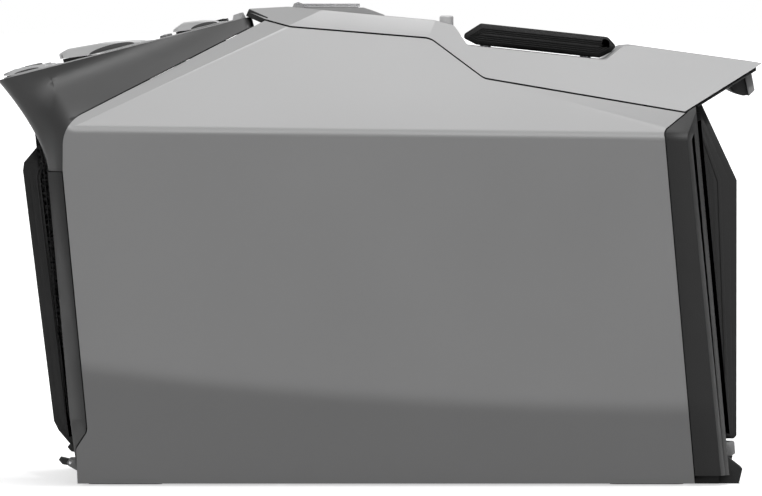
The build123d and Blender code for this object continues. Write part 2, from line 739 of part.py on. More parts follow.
with BuildPart() as base_tray:
    block((tray_front - 6, tray_rear), both_sides(tray_half), (floor_bottom, floor_top), radius=2)
    for side in (-1, 1):
        edge = sorted((side * tray_half, side * (tray_half - wall)))
        block((tray_front + 20, tray_rear - 16), edge, (floor_top, floor_top + 16))
    block((tray_front - 6, tray_front - 3), both_sides(half - 30), (floor_top, floor_top + 7))
    for x, y in screw_places:
        for side in (-1, 1):
            rod(Plane.XY, (x, side * y), 5.5, (floor_top, floor_top + 12))
            rod(Plane.XY, (x, side * y), screw_radius, (0, 40), mode=Mode.SUBTRACT)
            rod(Plane.XY, (x, side * y), 3.8, (0, floor_bottom + 1.6), mode=Mode.SUBTRACT)
    for x, y in foot_places:
        for side in (-1, 1):
            block((x - foot_size[0] / 2, x + foot_size[0] / 2),
                  sorted((side * (y - foot_size[1] / 2), side * (y + foot_size[1] / 2))),
                  (0, floor_bottom + 1), radius=5, mode=Mode.SUBTRACT)
base_tray.part.label = "base_tray"

with BuildPart() as base_feet:
    for x, y in foot_places:
        for side in (-1, 1):
            block((x - foot_size[0] / 2, x + foot_size[0] / 2),
                  sorted((side * (y - foot_size[1] / 2), side * (y + foot_size[1] / 2))),
                  (0, floor_bottom + 1), radius=5)
base_feet.part.label = "base_feet"

with BuildPart() as base_screws:
    for x, y in screw_places:
        for side in (-1, 1):
            rod(Plane.XY, (x, side * y), 3.6, (floor_bottom, floor_bottom + 1.6))
            rod(Plane.XY, (x, side * y), screw_radius, (floor_bottom + 1.6, floor_top + 11))
            rod(Plane.XY, (x, side * y), 1.2, (0, floor_bottom + 0.9), mode=Mode.SUBTRACT)
base_screws.part.label = "base_screws"

sill_rear = from_rear(30.6)
with BuildPart() as rear_sill:
    block((tray_rear + reveal, sill_rear), both_sides(half - 30), (0, rear_bottom))
    block((tray_rear - 6, tray_rear + reveal), both_sides(half - 40), (floor_top, rear_bottom))
rear_sill.part.label = "rear_sill"

with BuildPart() as rear_heel_feet:
    for side in (-1, 1):
        prism([
            (sill_rear, 0), (from_rear(16.6), 0), (from_rear(14), 10.5), (from_rear(24.6), 18.9),
            (x_on(frame_rear_line, 18.9), 18.9), (sill_rear, rear_bottom),
        ], sorted((side * (half - 70), side * (half - 32))))
    add(rear_behind.part, mode=Mode.SUBTRACT)
    for side in (-1, 1):
        block((sill_rear, from_rear(22)), sorted((side * (half - 70), side * (half - 32))),
              (0, rear_bottom))
rear_heel_feet.part.label = "rear_heel_feet"

with BuildPart() as rear_hooks:
    for side in (-1, 1):
        prism([
            (x_on(frame_rear_line, 29), 29), (from_rear(19.5), 29), (from_rear(19), 21),
            (from_rear(21.5), 19.4), (x_on(frame_rear_line, 19.4), 19.4),
        ], sorted((side * (half - 64), side * (half - 38))))
rear_hooks.part.label = "rear_hooks"

# ---------------------------------------------------------------- front toggle latches
latch_pin = (from_front(50.6), 14.4)
small_pin_radius = 1.0
latch_inner, latch_outer = half - 64, half - 38
ear = 3.0
frame_foot_x = from_front(55.6)
with BuildPart() as latch_bases:
    for side in (-1, 1):
        ends = sorted((side * latch_inner, side * latch_outer))
        prism([
            (frame_foot_x, 17.5), (latch_pin[0] - 0.5, 17.2), (latch_pin[0] - 2.4, 14.4),
            (latch_pin[0] - 1.2, 12.2), (from_front(57.4), 7.8), (from_front(58.4), 9.2),
            (frame_foot_x, 11.5),
        ], ends)
        block((from_front(30), latch_pin[0] + 2.0), (ends[0] + ear, ends[1] - ear), (11.6, 30),
              mode=Mode.SUBTRACT)
        rod(Plane.XZ, latch_pin, small_pin_radius, (-ends[1], -ends[0]), mode=Mode.SUBTRACT)
    add(front_block(half, 0, 30), mode=Mode.SUBTRACT)
latch_bases.part.label = "latch_bases"

latch_levers = []
for name, side in (("latch_lever_left", -1), ("latch_lever_right", 1)):
    ends = sorted((side * latch_inner, side * latch_outer))
    span = (ends[0] + ear + move_gap, ends[1] - ear - move_gap)
    with BuildPart() as lever:
        prism([
            (latch_pin[0] - 8.2, 16.4), (latch_pin[0] - 7, 18), (latch_pin[0] - 1, 16.6),
            (latch_pin[0] - 1, 12.4), (latch_pin[0] - 5.5, 13.2),
        ], span)
        rod(Plane.XZ, latch_pin, 1.9, (-span[1], -span[0]))
        rod(Plane.XZ, latch_pin, small_pin_radius + pin_clearance, (-span[1], -span[0]),
            mode=Mode.SUBTRACT)
    lever.part.label = name
    latch_levers.append(lever)

# ---------------------------------------------------------------- carry grip and its well
grip_travel = 20.0
grip_half_pitch = 36.0
post_radius = 4.0
bushing_radius = 7.0
valley = (Vector(*roof[4]), Vector(*roof[5]))
valley_run = (valley[1] - valley[0]).normalized()
grip_centre = valley[0] + valley_run * 49.5
grip_side = Plane(origin=(grip_centre.X, 0, grip_centre.Y), x_dir=(valley_run.X, 0, valley_run.Y),
                  z_dir=(0, -1, 0))
grip_base = Plane(origin=grip_side.origin, x_dir=grip_side.x_dir, z_dir=grip_side.y_dir)
well_half = (25.0, 20.0)
well_depth = 22.0
well_wall = 2.0
# outline in the grip's own side view: along the valley, above the roof
grip_outline = [
    (-52, 4.4), (-52, 7.6), (-41, 16.4), (50.5, 16.4), (57, 10.5), (54, 6), (46, 0.9), (-43, 0.9),
]
grip_radii = [2, 3, 3, 4, 2, 2, 3, 3]
grip_layers = [(0, 10.5), (1.5, 14.0), (3.0, 17.0)]      # step in from the outline, half width

with BuildPart() as grip_core:
    slab(grip_base, both_sides(grip_half_pitch + 8), both_sides(6), (5, 11), radius=3)
    for u in both_sides(grip_half_pitch):
        rod(grip_base, (u, 0), post_radius, (-well_depth - 12, 6))
        rod(grip_base, (u, 0), bushing_radius - 0.5, (-well_depth - 15, -well_depth - 12))
grip_core.part.label = "grip_core"


def grip_layer(step):
    with BuildSketch(grip_side) as outline:
        with BuildLine():
            FilletPolyline(*grip_outline, radius=grip_radii, close=True)
        make_face()
        if step:
            offset(amount=-step, kind=Kind.INTERSECTION, mode=Mode.REPLACE)
    return outline.sketch


with BuildPart() as carry_grip:
    for step, half_span in grip_layers:
        extrude(grip_layer(step), amount=half_span, both=True)
    add(grip_core.part, mode=Mode.SUBTRACT)
carry_grip.part.label = "carry_grip"

with BuildPart() as grip_well:
    slab(grip_base, both_sides(grip_half_pitch + 10), both_sides(24), (-wall - 2.5, -wall), radius=6)
    slab(grip_base, both_sides(well_half[0]), both_sides(well_half[1]), (-well_depth, -0.4), radius=7)
    for u in both_sides(grip_half_pitch):
        rod(grip_base, (u, 0), bushing_radius, (-12, -0.2))
    slab(grip_base, both_sides(well_half[0] - well_wall), both_sides(well_half[1] - well_wall),
         (-well_depth + well_wall, 5), radius=5, mode=Mode.SUBTRACT)
    for u in both_sides(grip_half_pitch):
        rod(grip_base, (u, 0), post_radius + pin_clearance, (-30, 5), mode=Mode.SUBTRACT)
grip_well.part.label = "grip_well"

release_at = (from_rear(222.5), 0)
release_radius = 5.0
with BuildPart() as grip_release_button:
    rod(Plane.XY, release_at, release_radius, (from_top(30), from_top(9.6)))
    fillet(grip_release_button.faces().sort_by(Axis.Z)[-1].edges(), radius=1.6)
    rod(Plane.XY, release_at, release_radius + 1.5, (from_top(30), from_top(27)))
grip_release_button.part.label = "grip_release_button"

# ---------------------------------------------------------------- lash ring
ring_knuckle = 1.8
ring_pin_at = (from_front(211), from_top(ring_knuckle))
ring_half = 15.0
ring_end = from_front(255.3)
ear_width = 3.6

with BuildPart() as lash_ring:
    block((ring_pin_at[0], ring_end), both_sides(ring_half), (from_top(3.4), from_top(1.1)))
    fillet(lash_ring.edges().filter_by(Axis.Z).group_by(Axis.X)[-1], radius=6)
    rod(Plane.XZ, ring_pin_at, ring_knuckle, both_sides(ring_half))
    block((ring_pin_at[0] + 5, ring_end - 4.4), both_sides(ring_half - 4.4), (0, height), radius=3,
          mode=Mode.SUBTRACT)
    rod(Plane.XZ, ring_pin_at, small_pin_radius + pin_clearance, both_sides(ring_half),
        mode=Mode.SUBTRACT)
lash_ring.part.label = "lash_ring"

mount_half = ring_half + move_gap + ear_width
with BuildPart() as lash_ring_mount:
    prism([
        (from_front(203), from_top(8)), (from_front(203.6), from_top(4.0)),
        (from_front(258), from_top(3.9)), (from_front(264.5), from_top(6)),
        (from_front(273), from_top(9.2)), (from_front(273), from_top(16)),
        (from_front(203), from_top(16)),
    ], both_sides(mount_half + 2), radius=[0, 1, 3, 3, 0, 0, 0])
    for side in (-1, 1):
        ends = sorted((side * mount_half, side * (mount_half - ear_width)))
        prism([
            (ring_pin_at[0] - 4.5, from_top(5)), (ring_pin_at[0] - 2.6, from_top(0.6)),
            (ring_pin_at[0] + 2.6, from_top(0.6)), (ring_pin_at[0] + 5, from_top(5)),
        ], ends, radius=[0, 1.5, 1.5, 0])
    block((ring_pin_at[0] - 3, ring_pin_at[0] + 3), both_sides(ring_half + move_gap),
          (from_top(ring_knuckle * 2 + 0.5), height), mode=Mode.SUBTRACT)
    rod(Plane.XZ, ring_pin_at, small_pin_radius, both_sides(mount_half), mode=Mode.SUBTRACT)
    add(outer_body, mode=Mode.SUBTRACT)
lash_ring_mount.part.label = "lash_ring_mount"

with BuildPart() as small_pins:
    rod(Plane.XZ, ring_pin_at, small_pin_radius, both_sides(mount_half))
    for side in (-1, 1):
        ends = sorted((side * latch_inner, side * latch_outer))
        rod(Plane.XZ, latch_pin, small_pin_radius, (-ends[1], -ends[0]))
small_pins.part.label = "small_pins"

# ---------------------------------------------------------------- top cover
with BuildPart() as top_cover:
    add(body_skin.part)
    extrude(cover_outline(-seam_gap), amount=width, both=True, mode=Mode.INTERSECT)
    slab(grip_base, both_sides(well_half[0]), both_sides(well_half[1]), (-wall - 1, 5), radius=7,
         mode=Mode.SUBTRACT)
    for u in both_sides(grip_half_pitch):
        rod(grip_base, (u, 0), bushing_radius, (-wall - 1, 5), mode=Mode.SUBTRACT)
    rod(Plane.XY, release_at, release_radius + move_gap, (from_top(40), height), mode=Mode.SUBTRACT)
top_cover.part.label = "top_cover"

# ---------------------------------------------------------------- battery
cell_thickness = 27.0
cell_gap = 0.4
cells_per_row = 8
row_gap = 4.0
tray_wall = 2.0
cells_bottom = floor_top + tray_wall
cells_top = from_top(184)
cells_rear = from_rear(68)
cell_pitch = cell_thickness + cell_gap
cells_front = cells_rear - cells_per_row * cell_pitch
cell_outer = inner_half - 13
terminal_offset = 36.0
cell_middle = (cell_outer + row_gap / 2) / 2
cell_xs = [cells_front + (index + 0.5) * cell_pitch for index in range(cells_per_row)]

with BuildPart() as battery_cells:
    for side in (-1, 1):
        for x in cell_xs:
            block((x - cell_thickness / 2, x + cell_thickness / 2),
                  sorted((side * row_gap / 2, side * cell_outer)), (cells_bottom, cells_top), radius=2)
            for y in (cell_middle - terminal_offset, cell_middle + terminal_offset):
                rod(Plane.XY, (x, side * y), 6, (cells_top, cells_top + 2))
battery_cells.part.label = "battery_cells"

with BuildPart() as cell_tray:
    block((cells_front - tray_wall - 0.2, cells_rear + tray_wall + 0.2),
          both_sides(cell_outer + tray_wall + 0.2), (floor_top, cells_bottom + 28))
    block((cells_front - 0.2, cells_rear + 0.2), both_sides(cell_outer + 0.2),
          (cells_bottom, cells_bottom + 40), mode=Mode.SUBTRACT)
cell_tray.part.label = "cell_tray"

with BuildPart() as busbars:
    for side in (-1, 1):
        for index in range(cells_per_row - 1):
            step = terminal_offset if index % 2 else -terminal_offset
            y = side * (cell_middle + step)
            block((cell_xs[index] - 8, cell_xs[index + 1] + 8), (y - 8, y + 8),
                  (cells_top + 2, cells_top + 4), radius=2)
busbars.part.label = "busbars"

with BuildPart() as bms_board:
    block((cells_front + 20, cells_rear - 60), both_sides(90), (cells_top + 10, cells_top + 11.6),
          radius=3)
    for x in (cells_front + 30, cells_rear - 70):
        for y in (-cell_middle, cell_middle):
            rod(Plane.XY, (x, y), 3, (cells_top, cells_top + 10))
    for index in range(6):
        x = cells_front + 40 + index * 17
        block((x, x + 10), (-12, 12), (cells_top + 11.6, cells_top + 14))
bms_board.part.label = "bms_board"

# ---------------------------------------------------------------- inverter bay
bulkhead_x = cells_front - 8
with BuildPart() as bulkhead:
    block((bulkhead_x - 2, bulkhead_x), both_sides(inner_half - 8), (floor_top, from_top(150)))
    block((bulkhead_x - 14, bulkhead_x - 2), both_sides(inner_half - 8), (floor_top, floor_top + 2))
    for y in (-80, 0, 80):
        rod(Plane.YZ, (y, from_top(175)), 11, (-length, length), mode=Mode.SUBTRACT)
bulkhead.part.label = "bulkhead"

board_z = 56.0
bay_front = from_front(86)
bay_rear = bulkhead_x - 16
with BuildPart() as inverter_board:
    block((bay_front, bay_rear), both_sides(inner_half - 27), (board_z - 2, board_z), radius=3)
    for x in (bay_front + 8, bay_rear - 8):
        for y in both_sides(inner_half - 37):
            rod(Plane.XY, (x, y), 4, (floor_top, board_z - 2))
inverter_board.part.label = "inverter_board"

sink_front = bay_front + 6
sink_rear = sink_front + 62
fin_count = 12
with BuildPart() as heat_sink:
    block((sink_front, sink_rear), both_sides(90), (board_z, board_z + 8))
    for index in range(fin_count):
        y = -88 + index * 176 / (fin_count - 1)
        block((sink_front, sink_rear), (y - 1.2, y + 1.2), (board_z + 8, board_z + 42))
heat_sink.part.label = "heat_sink"

coil_x = bay_rear - 28
with BuildPart() as inverter_coils:
    for y in (-62, 0, 62):
        rod(Plane.XY, (coil_x, y), 26, (board_z, board_z + 28))
        rod(Plane.XY, (coil_x, y), 11, (board_z, board_z + 28), mode=Mode.SUBTRACT)
    fillet(inverter_coils.edges().filter_by(GeomType.CIRCLE), radius=4)
inverter_coils.part.label = "inverter_coils"

with BuildPart() as capacitors:
    for y in (-100, -75, -50, -25, 25, 50, 75, 100):
        rod(Plane.XY, (sink_rear + 11, y), 9, (board_z, board_z + 45))
capacitors.part.label = "capacitors"

# ---------------------------------------------------------------- fans
hub_radius = 14.0
shaft_radius = 2.0
blade_count = 7
with BuildPart() as fan_housings:
    for y in fan_centres_y:
        slab(fan_plane, (y - fan_size / 2, y + fan_size / 2),
             (fan_centre_z - fan_size / 2, fan_centre_z + fan_size / 2), (-fan_depth, 0), radius=4)
        rod(fan_plane, (y, fan_centre_z), fan_bore, (-fan_depth, 0), mode=Mode.SUBTRACT)
        slab(fan_plane, (y - 2.5, y + 2.5), (fan_centre_z - 38.5, fan_centre_z + 38.5), (-3.5, -0.5))
        slab(fan_plane, (y - 38.5, y + 38.5), (fan_centre_z - 2.5, fan_centre_z + 2.5), (-3.5, -0.5))
        rod(fan_plane, (y, fan_centre_z), hub_radius, (-4.5, -0.5))
        rod(fan_plane, (y, fan_centre_z), shaft_radius, (-fan_depth + 3, -4.5))
fan_housings.part.label = "fan_housings"

fan_rotors = []
for name, y in (("fan_rotor_left", fan_centres_y[0]), ("fan_rotor_right", fan_centres_y[1])):
    with BuildPart() as rotor:
        for index in range(blade_count):
            turn = fan_plane.location * Location((y, fan_centre_z, -13.5))
            turn = turn * Location((0, 0, 0), (0, 0, index * 360 / blade_count))
            blade = turn * Location((23.5, 0, 0), (38, 0, 0))
            with Locations(blade):
                Box(23, 15, 1.4)
        rod(fan_plane, (y, fan_centre_z), hub_radius, (-fan_depth + 2.5, -5.2))
        rod(fan_plane, (y, fan_centre_z), fan_bore - 1.5, (-fan_depth + 2, -5.2), mode=Mode.INTERSECT)
        rod(fan_plane, (y, fan_centre_z), shaft_radius + pin_clearance, (-fan_depth, 0),
            mode=Mode.SUBTRACT)
    rotor.part.label = name
    fan_rotors.append(rotor)

# ---------------------------------------------------------------- write every sub-part
pieces = [base_tray, left_side_shell, right_side_shell, top_cover, seam_gasket, eave_liner]
pieces += [front_frame, front_bumper, rear_frame, rear_vent_cowl, rear_grab_lip, rear_grab_pad]
pieces += [base_feet, base_screws, rear_sill, rear_heel_feet, rear_hooks]
pieces += [latch_bases, *latch_levers]
pieces += [dash_cowl, control_panel, *flap_parts, flap_pins, flap_gaskets]
pieces += [ac_sockets, dc_port_module, usb_port_module, input_ports, display, control_board, *buttons]
pieces += [carry_grip, grip_core, grip_well, grip_release_button]
pieces += [lash_ring, lash_ring_mount, small_pins]
pieces += [battery_cells, cell_tray, busbars, bms_board]
pieces += [bulkhead, inverter_board, heat_sink, inverter_coils, capacitors, fan_housings, *fan_rotors]
os.makedirs("parts", exist_ok=True)
for piece in pieces:
    export_step(piece.part, "parts/" + piece.part.label + ".step")
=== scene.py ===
# %% [markdown]
# # A portable power station
# The measured model of the power station is loaded first, as a frame that never moves.
# This lesson gives it its finishes, moulds the parts that need finer detail than the
# measured solids hold, and sets it in a plain pale studio.

# %% Load the frame
import json
from math import atan, cos, pi, radians, sin

import bpy
from mathutils import Matrix, Vector


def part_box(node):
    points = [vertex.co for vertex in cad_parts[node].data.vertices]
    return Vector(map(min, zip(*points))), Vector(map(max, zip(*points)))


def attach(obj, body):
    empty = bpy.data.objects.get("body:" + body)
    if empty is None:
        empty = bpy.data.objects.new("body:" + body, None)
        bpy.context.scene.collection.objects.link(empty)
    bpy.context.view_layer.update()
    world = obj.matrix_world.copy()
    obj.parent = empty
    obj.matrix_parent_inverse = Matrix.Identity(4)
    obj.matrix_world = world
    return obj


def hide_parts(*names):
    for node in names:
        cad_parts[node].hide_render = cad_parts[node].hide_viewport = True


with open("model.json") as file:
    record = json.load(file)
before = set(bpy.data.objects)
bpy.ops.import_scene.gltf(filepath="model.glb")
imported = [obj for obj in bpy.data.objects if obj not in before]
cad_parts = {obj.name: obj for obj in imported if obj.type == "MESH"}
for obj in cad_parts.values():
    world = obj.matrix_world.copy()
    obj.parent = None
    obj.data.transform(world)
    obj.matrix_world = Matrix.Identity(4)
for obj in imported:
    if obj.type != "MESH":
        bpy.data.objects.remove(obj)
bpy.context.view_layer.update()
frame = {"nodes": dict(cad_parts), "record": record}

MM = 0.001

# %% [markdown]
# ## The camera
# The station is seen square from its left side, from seven metres away through a long
# lens, so that almost no perspective shows. The lens follows from two lengths: how wide
# the view is at the near side of the station, and how far off that side is. The camera
# stands level with the top of the station and tips down a little to take all of it in.

# %% Make the camera
VIEW_WIDTH = 535.5 * MM
VIEW_DISTANCE = 7.0
NEAR_SIDE = -0.150
CAMERA_HEIGHT = 0.345
AIM = Vector((0.5 * MM, NEAR_SIDE, 167.3 * MM))

bpy.ops.object.select_all(action="DESELECT")
bpy.ops.object.camera_add(location=(AIM.x, NEAR_SIDE - VIEW_DISTANCE, CAMERA_HEIGHT))
camera = bpy.context.object
tip = atan((CAMERA_HEIGHT - AIM.z) / VIEW_DISTANCE)
camera.rotation_euler = (pi / 2 - tip, 0, 0)
camera.data.lens = camera.data.sensor_width * VIEW_DISTANCE / VIEW_WIDTH
camera.data.clip_start = 0.1
camera.data.clip_end = 100
bpy.context.scene.camera = camera
print("lens, mm:", round(camera.data.lens, 1))

# %% [markdown]
# ## Light and floor
# Soft light falls almost straight down, so the roof is bright, the shoulders are a step
# darker and the upright sides are a calm middle grey. The world is brighter above the
# horizon than below it, which keeps the undersides dark. A broad, weak spot from the
# left lights the side panel and ends in a clean edge above the floor, as a low table edge
# would make it do. The floor is pale and doesn't throw light back up onto the station.

# %% Light the studio
scene = bpy.context.scene
scene.view_settings.view_transform = "Standard"

world = bpy.data.worlds.new("studio_sky")
scene.world = world
world.use_nodes = True
sky = world.node_tree
sky.nodes.clear()
sky_out = sky.nodes.new("ShaderNodeOutputWorld")
sky_place = sky.nodes.new("ShaderNodeTexCoord")
sky_height = sky.nodes.new("ShaderNodeSeparateXYZ")
sky_ramp = sky.nodes.new("ShaderNodeValToRGB")
sky_shift = sky.nodes.new("ShaderNodeMapRange")
sky_light = sky.nodes.new("ShaderNodeBackground")
sky_seen = sky.nodes.new("ShaderNodeBackground")
sky_ray = sky.nodes.new("ShaderNodeLightPath")
sky_mix = sky.nodes.new("ShaderNodeMixShader")
sky_seen.inputs["Color"].default_value = (1, 1, 1, 1)
sky_shift.inputs["From Min"].default_value = -1
sky.links.new(sky_place.outputs["Generated"], sky_height.inputs["Vector"])
sky.links.new(sky_height.outputs["Z"], sky_shift.inputs["Value"])
sky.links.new(sky_shift.outputs["Result"], sky_ramp.inputs["Fac"])
SKY_STOPS = [(0.40, 0.04), (0.50, 0.15), (0.60, 0.30), (1.0, 0.48)]
for index, (place, grey) in enumerate(SKY_STOPS):
    stops = sky_ramp.color_ramp.elements
    stop = stops[index] if index < 2 else stops.new(place)
    stop.position = place
    stop.color = (grey, grey, grey * 1.01, 1)
sky.links.new(sky_ramp.outputs["Color"], sky_light.inputs["Color"])
sky.links.new(sky_ray.outputs["Is Camera Ray"], sky_mix.inputs["Fac"])
sky.links.new(sky_light.outputs["Background"], sky_mix.inputs[1])
sky.links.new(sky_seen.outputs["Background"], sky_mix.inputs[2])
sky.links.new(sky_mix.outputs["Shader"], sky_out.inputs["Surface"])

bpy.ops.object.light_add(type="SUN", location=(0, 0, 3), rotation=(radians(-12), radians(4), 0))
overhead = bpy.context.object
overhead.data.energy = 1.45
overhead.data.angle = radians(28)

# %% Add the weak side light
SPOT_REACH = 3.0
SPOT_DISTANCE = 4.0
SPOT_EDGE = Vector((3 * MM, NEAR_SIDE, 57.5 * MM))
EDGE_TILT = radians(3.8)
spot_aim = SPOT_EDGE + Vector((sin(EDGE_TILT), 0, cos(EDGE_TILT))) * SPOT_REACH
spot_from = spot_aim + Vector((0, -SPOT_DISTANCE, 0))
bpy.ops.object.light_add(type="SPOT", location=spot_from, rotation=(pi / 2, 0, 0))
side_light = bpy.context.object
side_light.data.energy = 156
side_light.data.spot_size = 2 * atan(SPOT_REACH / SPOT_DISTANCE)
side_light.data.spot_blend = 0.004
side_light.data.shadow_soft_size = 0.005

# %% Add a strip that only glints
# It is seen in the satin paint along the crease, and gives no other light.
STRIP_PLACE = Vector((1.5, -2.6, 3.0))
CREASE = Vector((0.12, NEAR_SIDE, 0.24))
bpy.ops.object.light_add(type="AREA", location=STRIP_PLACE)
strip = bpy.context.object
strip.rotation_euler = (CREASE - STRIP_PLACE).to_track_quat("-Z", "Y").to_euler()
strip.data.shape = "RECTANGLE"
strip.data.size = 1.3
strip.data.size_y = 0.5
strip.data.energy = 110
strip.visible_diffuse = False

# %% Lay the floor
bpy.ops.object.select_all(action="DESELECT")
bpy.ops.mesh.primitive_plane_add(size=160, location=(0, 0, 0))
floor = bpy.context.object
floor.name = "studio_floor"
floor.visible_diffuse = False
floor_finish = bpy.data.materials.new("pale_floor")
floor_finish.use_nodes = True
floor_shader = floor_finish.node_tree.nodes["Principled BSDF"]
floor_shader.inputs["Base Color"].default_value = (0.95, 0.95, 0.95, 1)
floor_shader.inputs["Roughness"].default_value = 0.9
floor_shader.inputs["Emission Color"].default_value = (1, 1, 1, 1)
floor_shader.inputs["Emission Strength"].default_value = 0.6
floor.data.materials.append(floor_finish)

# %% [markdown]
# ## Surface effects that finishes share
# Moulded plastic is never quite one colour. It has a slow drift of tone from the mould
# and the paint, and a spark-eroded grain a few tenths of a millimetre across. Both are
# node groups, so every finish can use them with its own size and strength.

# %% Group: slow drift of tone
def new_group(name, ins, outs):
    """An empty shader group with float or colour sockets."""
    group = bpy.data.node_groups.new(name, "ShaderNodeTree")
    for label, kind, value in ins:
        socket = group.interface.new_socket(name=label, in_out="INPUT", socket_type=kind)
        socket.default_value = value
    for label, kind in outs:
        group.interface.new_socket(name=label, in_out="OUTPUT", socket_type=kind)
    return group, group.nodes.new("NodeGroupInput"), group.nodes.new("NodeGroupOutput")


FLOAT, COLOUR = "NodeSocketFloat", "NodeSocketColor"

tone, tone_in, tone_out = new_group(
    "tone_drift",
    [("Light", COLOUR, (1, 1, 1, 1)), ("Dark", COLOUR, (0, 0, 0, 1)), ("Size", FLOAT, 14.0),
     ("Rough Low", FLOAT, 0.4), ("Rough High", FLOAT, 0.5)],
    [("Color", COLOUR), ("Roughness", FLOAT)])
tone_place = tone.nodes.new("ShaderNodeTexCoord")
tone_noise = tone.nodes.new("ShaderNodeTexNoise")
tone_noise.inputs["Detail"].default_value = 3
tone_mix = tone.nodes.new("ShaderNodeMix")
tone_mix.data_type = "RGBA"
tone_rough = tone.nodes.new("ShaderNodeMapRange")
tone_rough.inputs["From Min"].default_value = 0.3
tone_rough.inputs["From Max"].default_value = 0.7
tone.links.new(tone_place.outputs["Object"], tone_noise.inputs["Vector"])
tone.links.new(tone_in.outputs["Size"], tone_noise.inputs["Scale"])
tone.links.new(tone_noise.outputs["Fac"], tone_mix.inputs["Factor"])
tone.links.new(tone_in.outputs["Dark"], tone_mix.inputs["A"])
tone.links.new(tone_in.outputs["Light"], tone_mix.inputs["B"])
tone.links.new(tone_noise.outputs["Fac"], tone_rough.inputs["Value"])
tone.links.new(tone_in.outputs["Rough Low"], tone_rough.inputs["To Min"])
tone.links.new(tone_in.outputs["Rough High"], tone_rough.inputs["To Max"])
tone.links.new(tone_mix.outputs["Result"], tone_out.inputs["Color"])
tone.links.new(tone_rough.outputs["Result"], tone_out.inputs["Roughness"])
print("group:", tone.name)

# %% Group: fine moulded grain
grain, grain_in, grain_out = new_group(
    "moulded_grain", [("Grains per metre", FLOAT, 1500.0)], [("Height", FLOAT)])
grain_place = grain.nodes.new("ShaderNodeTexCoord")
grain_cells = grain.nodes.new("ShaderNodeTexVoronoi")
grain_cells.feature = "SMOOTH_F1"
grain_noise = grain.nodes.new("ShaderNodeTexNoise")
grain_add = grain.nodes.new("ShaderNodeMath")
grain_add.operation = "ADD"
for texture in (grain_cells, grain_noise):
    grain.links.new(grain_place.outputs["Object"], texture.inputs["Vector"])
    grain.links.new(grain_in.outputs["Grains per metre"], texture.inputs["Scale"])
grain.links.new(grain_cells.outputs["Distance"], grain_add.inputs[0])
grain.links.new(grain_noise.outputs["Fac"], grain_add.inputs[1])
grain.links.new(grain_add.outputs["Value"], grain_out.inputs["Height"])
print("group:", grain.name)

# %% [markdown]
# ## Moulded finishes
# One function makes each plastic, paint and rubber from the two groups: the drift gives
# colour and roughness, and the grain gives a small bump. What is the same all over, such
# as a clear coat or how metallic it is, is set on the shader itself.

# %% Make a moulded finish
def moulded(name, light, dark, rough, size=14.0, grains=1500.0, depth=0.02, metallic=0.0, coat=0.0,
            shine=0.5):
    """A finish with drifting tone and fine grain; light and dark are grey levels or colours."""
    finish = bpy.data.materials.new(name)
    finish.use_nodes = True
    nodes, links = finish.node_tree.nodes, finish.node_tree.links
    shader = nodes["Principled BSDF"]
    drift = nodes.new("ShaderNodeGroup")
    drift.node_tree = tone
    for socket, colour in (("Light", light), ("Dark", dark)):
        rgb = colour if isinstance(colour, tuple) else (colour, colour, colour)
        drift.inputs[socket].default_value = (*rgb, 1)
    drift.inputs["Size"].default_value = size
    drift.inputs["Rough Low"].default_value = rough[0]
    drift.inputs["Rough High"].default_value = rough[1]
    bump_grain = nodes.new("ShaderNodeGroup")
    bump_grain.node_tree = grain
    bump_grain.inputs["Grains per metre"].default_value = grains
    bump = nodes.new("ShaderNodeBump")
    bump.inputs["Strength"].default_value = depth
    bump.inputs["Distance"].default_value = 0.3 * MM
    links.new(drift.outputs["Color"], shader.inputs["Base Color"])
    links.new(drift.outputs["Roughness"], shader.inputs["Roughness"])
    links.new(bump_grain.outputs["Height"], bump.inputs["Height"])
    links.new(bump.outputs["Normal"], shader.inputs["Normal"])
    shader.inputs["Metallic"].default_value = metallic
    shader.inputs["Coat Weight"].default_value = coat
    shader.inputs["Specular IOR Level"].default_value = shine
    return finish


finish = {
    "silver_shell": moulded("silver_shell", 0.51, 0.48, (0.34, 0.42), 9, 2600, 0.05),
    "dark_frame": moulded("dark_frame", 0.016, 0.012, (0.46, 0.56), 20, 1700, 0.22, shine=0.35),
    "dash_grey": moulded("dash_grey", 0.074, 0.062, (0.44, 0.54), 16, 2000, 0.12, shine=0.4),
    "panel_grey": moulded("panel_grey", 0.60, 0.56, (0.38, 0.48), 20, 2200, 0.10),
    "flap_grey": moulded("flap_grey", 0.78, 0.74, (0.36, 0.46), 24, 2200, 0.08),
    "black_rubber": moulded("black_rubber", 0.009, 0.006, (0.46, 0.58), 40, 1300, 0.35, shine=0.35),
    "gloss_black": moulded("gloss_black", 0.012, 0.008, (0.10, 0.16), 30, 900, 0.01, coat=0.6),
    "port_plastic": moulded("port_plastic", 0.040, 0.030, (0.40, 0.55), 60, 1800, 0.20),
    "button_plastic": moulded("button_plastic", 0.22, 0.19, (0.36, 0.46), 60, 2200, 0.10),
    "hook_grey": moulded("hook_grey", 0.66, 0.60, (0.35, 0.46), 50, 2000, 0.12),
    "fan_plastic": moulded("fan_plastic", 0.045, 0.032, (0.40, 0.55), 60, 1500, 0.15),
    "capacitor_sleeve": moulded("capacitor_sleeve", (0.04, 0.045, 0.10), (0.025, 0.03, 0.07),
                                (0.18, 0.30), 60, 900, 0.03, coat=0.4),
    "ferrite": moulded("ferrite", 0.13, 0.09, (0.60, 0.75), 80, 1100, 0.40, metallic=0.3),
}
print("moulded finishes:", len(finish))

# %% [markdown]
# ## Metal, copper, cells and boards
# Brushed and rolled metal shows fine lines along one direction, so its noise is
# stretched by a Mapping node. The boards have a solder mask with tracks in it, and the
# cells a blue sleeve with a shrink line.

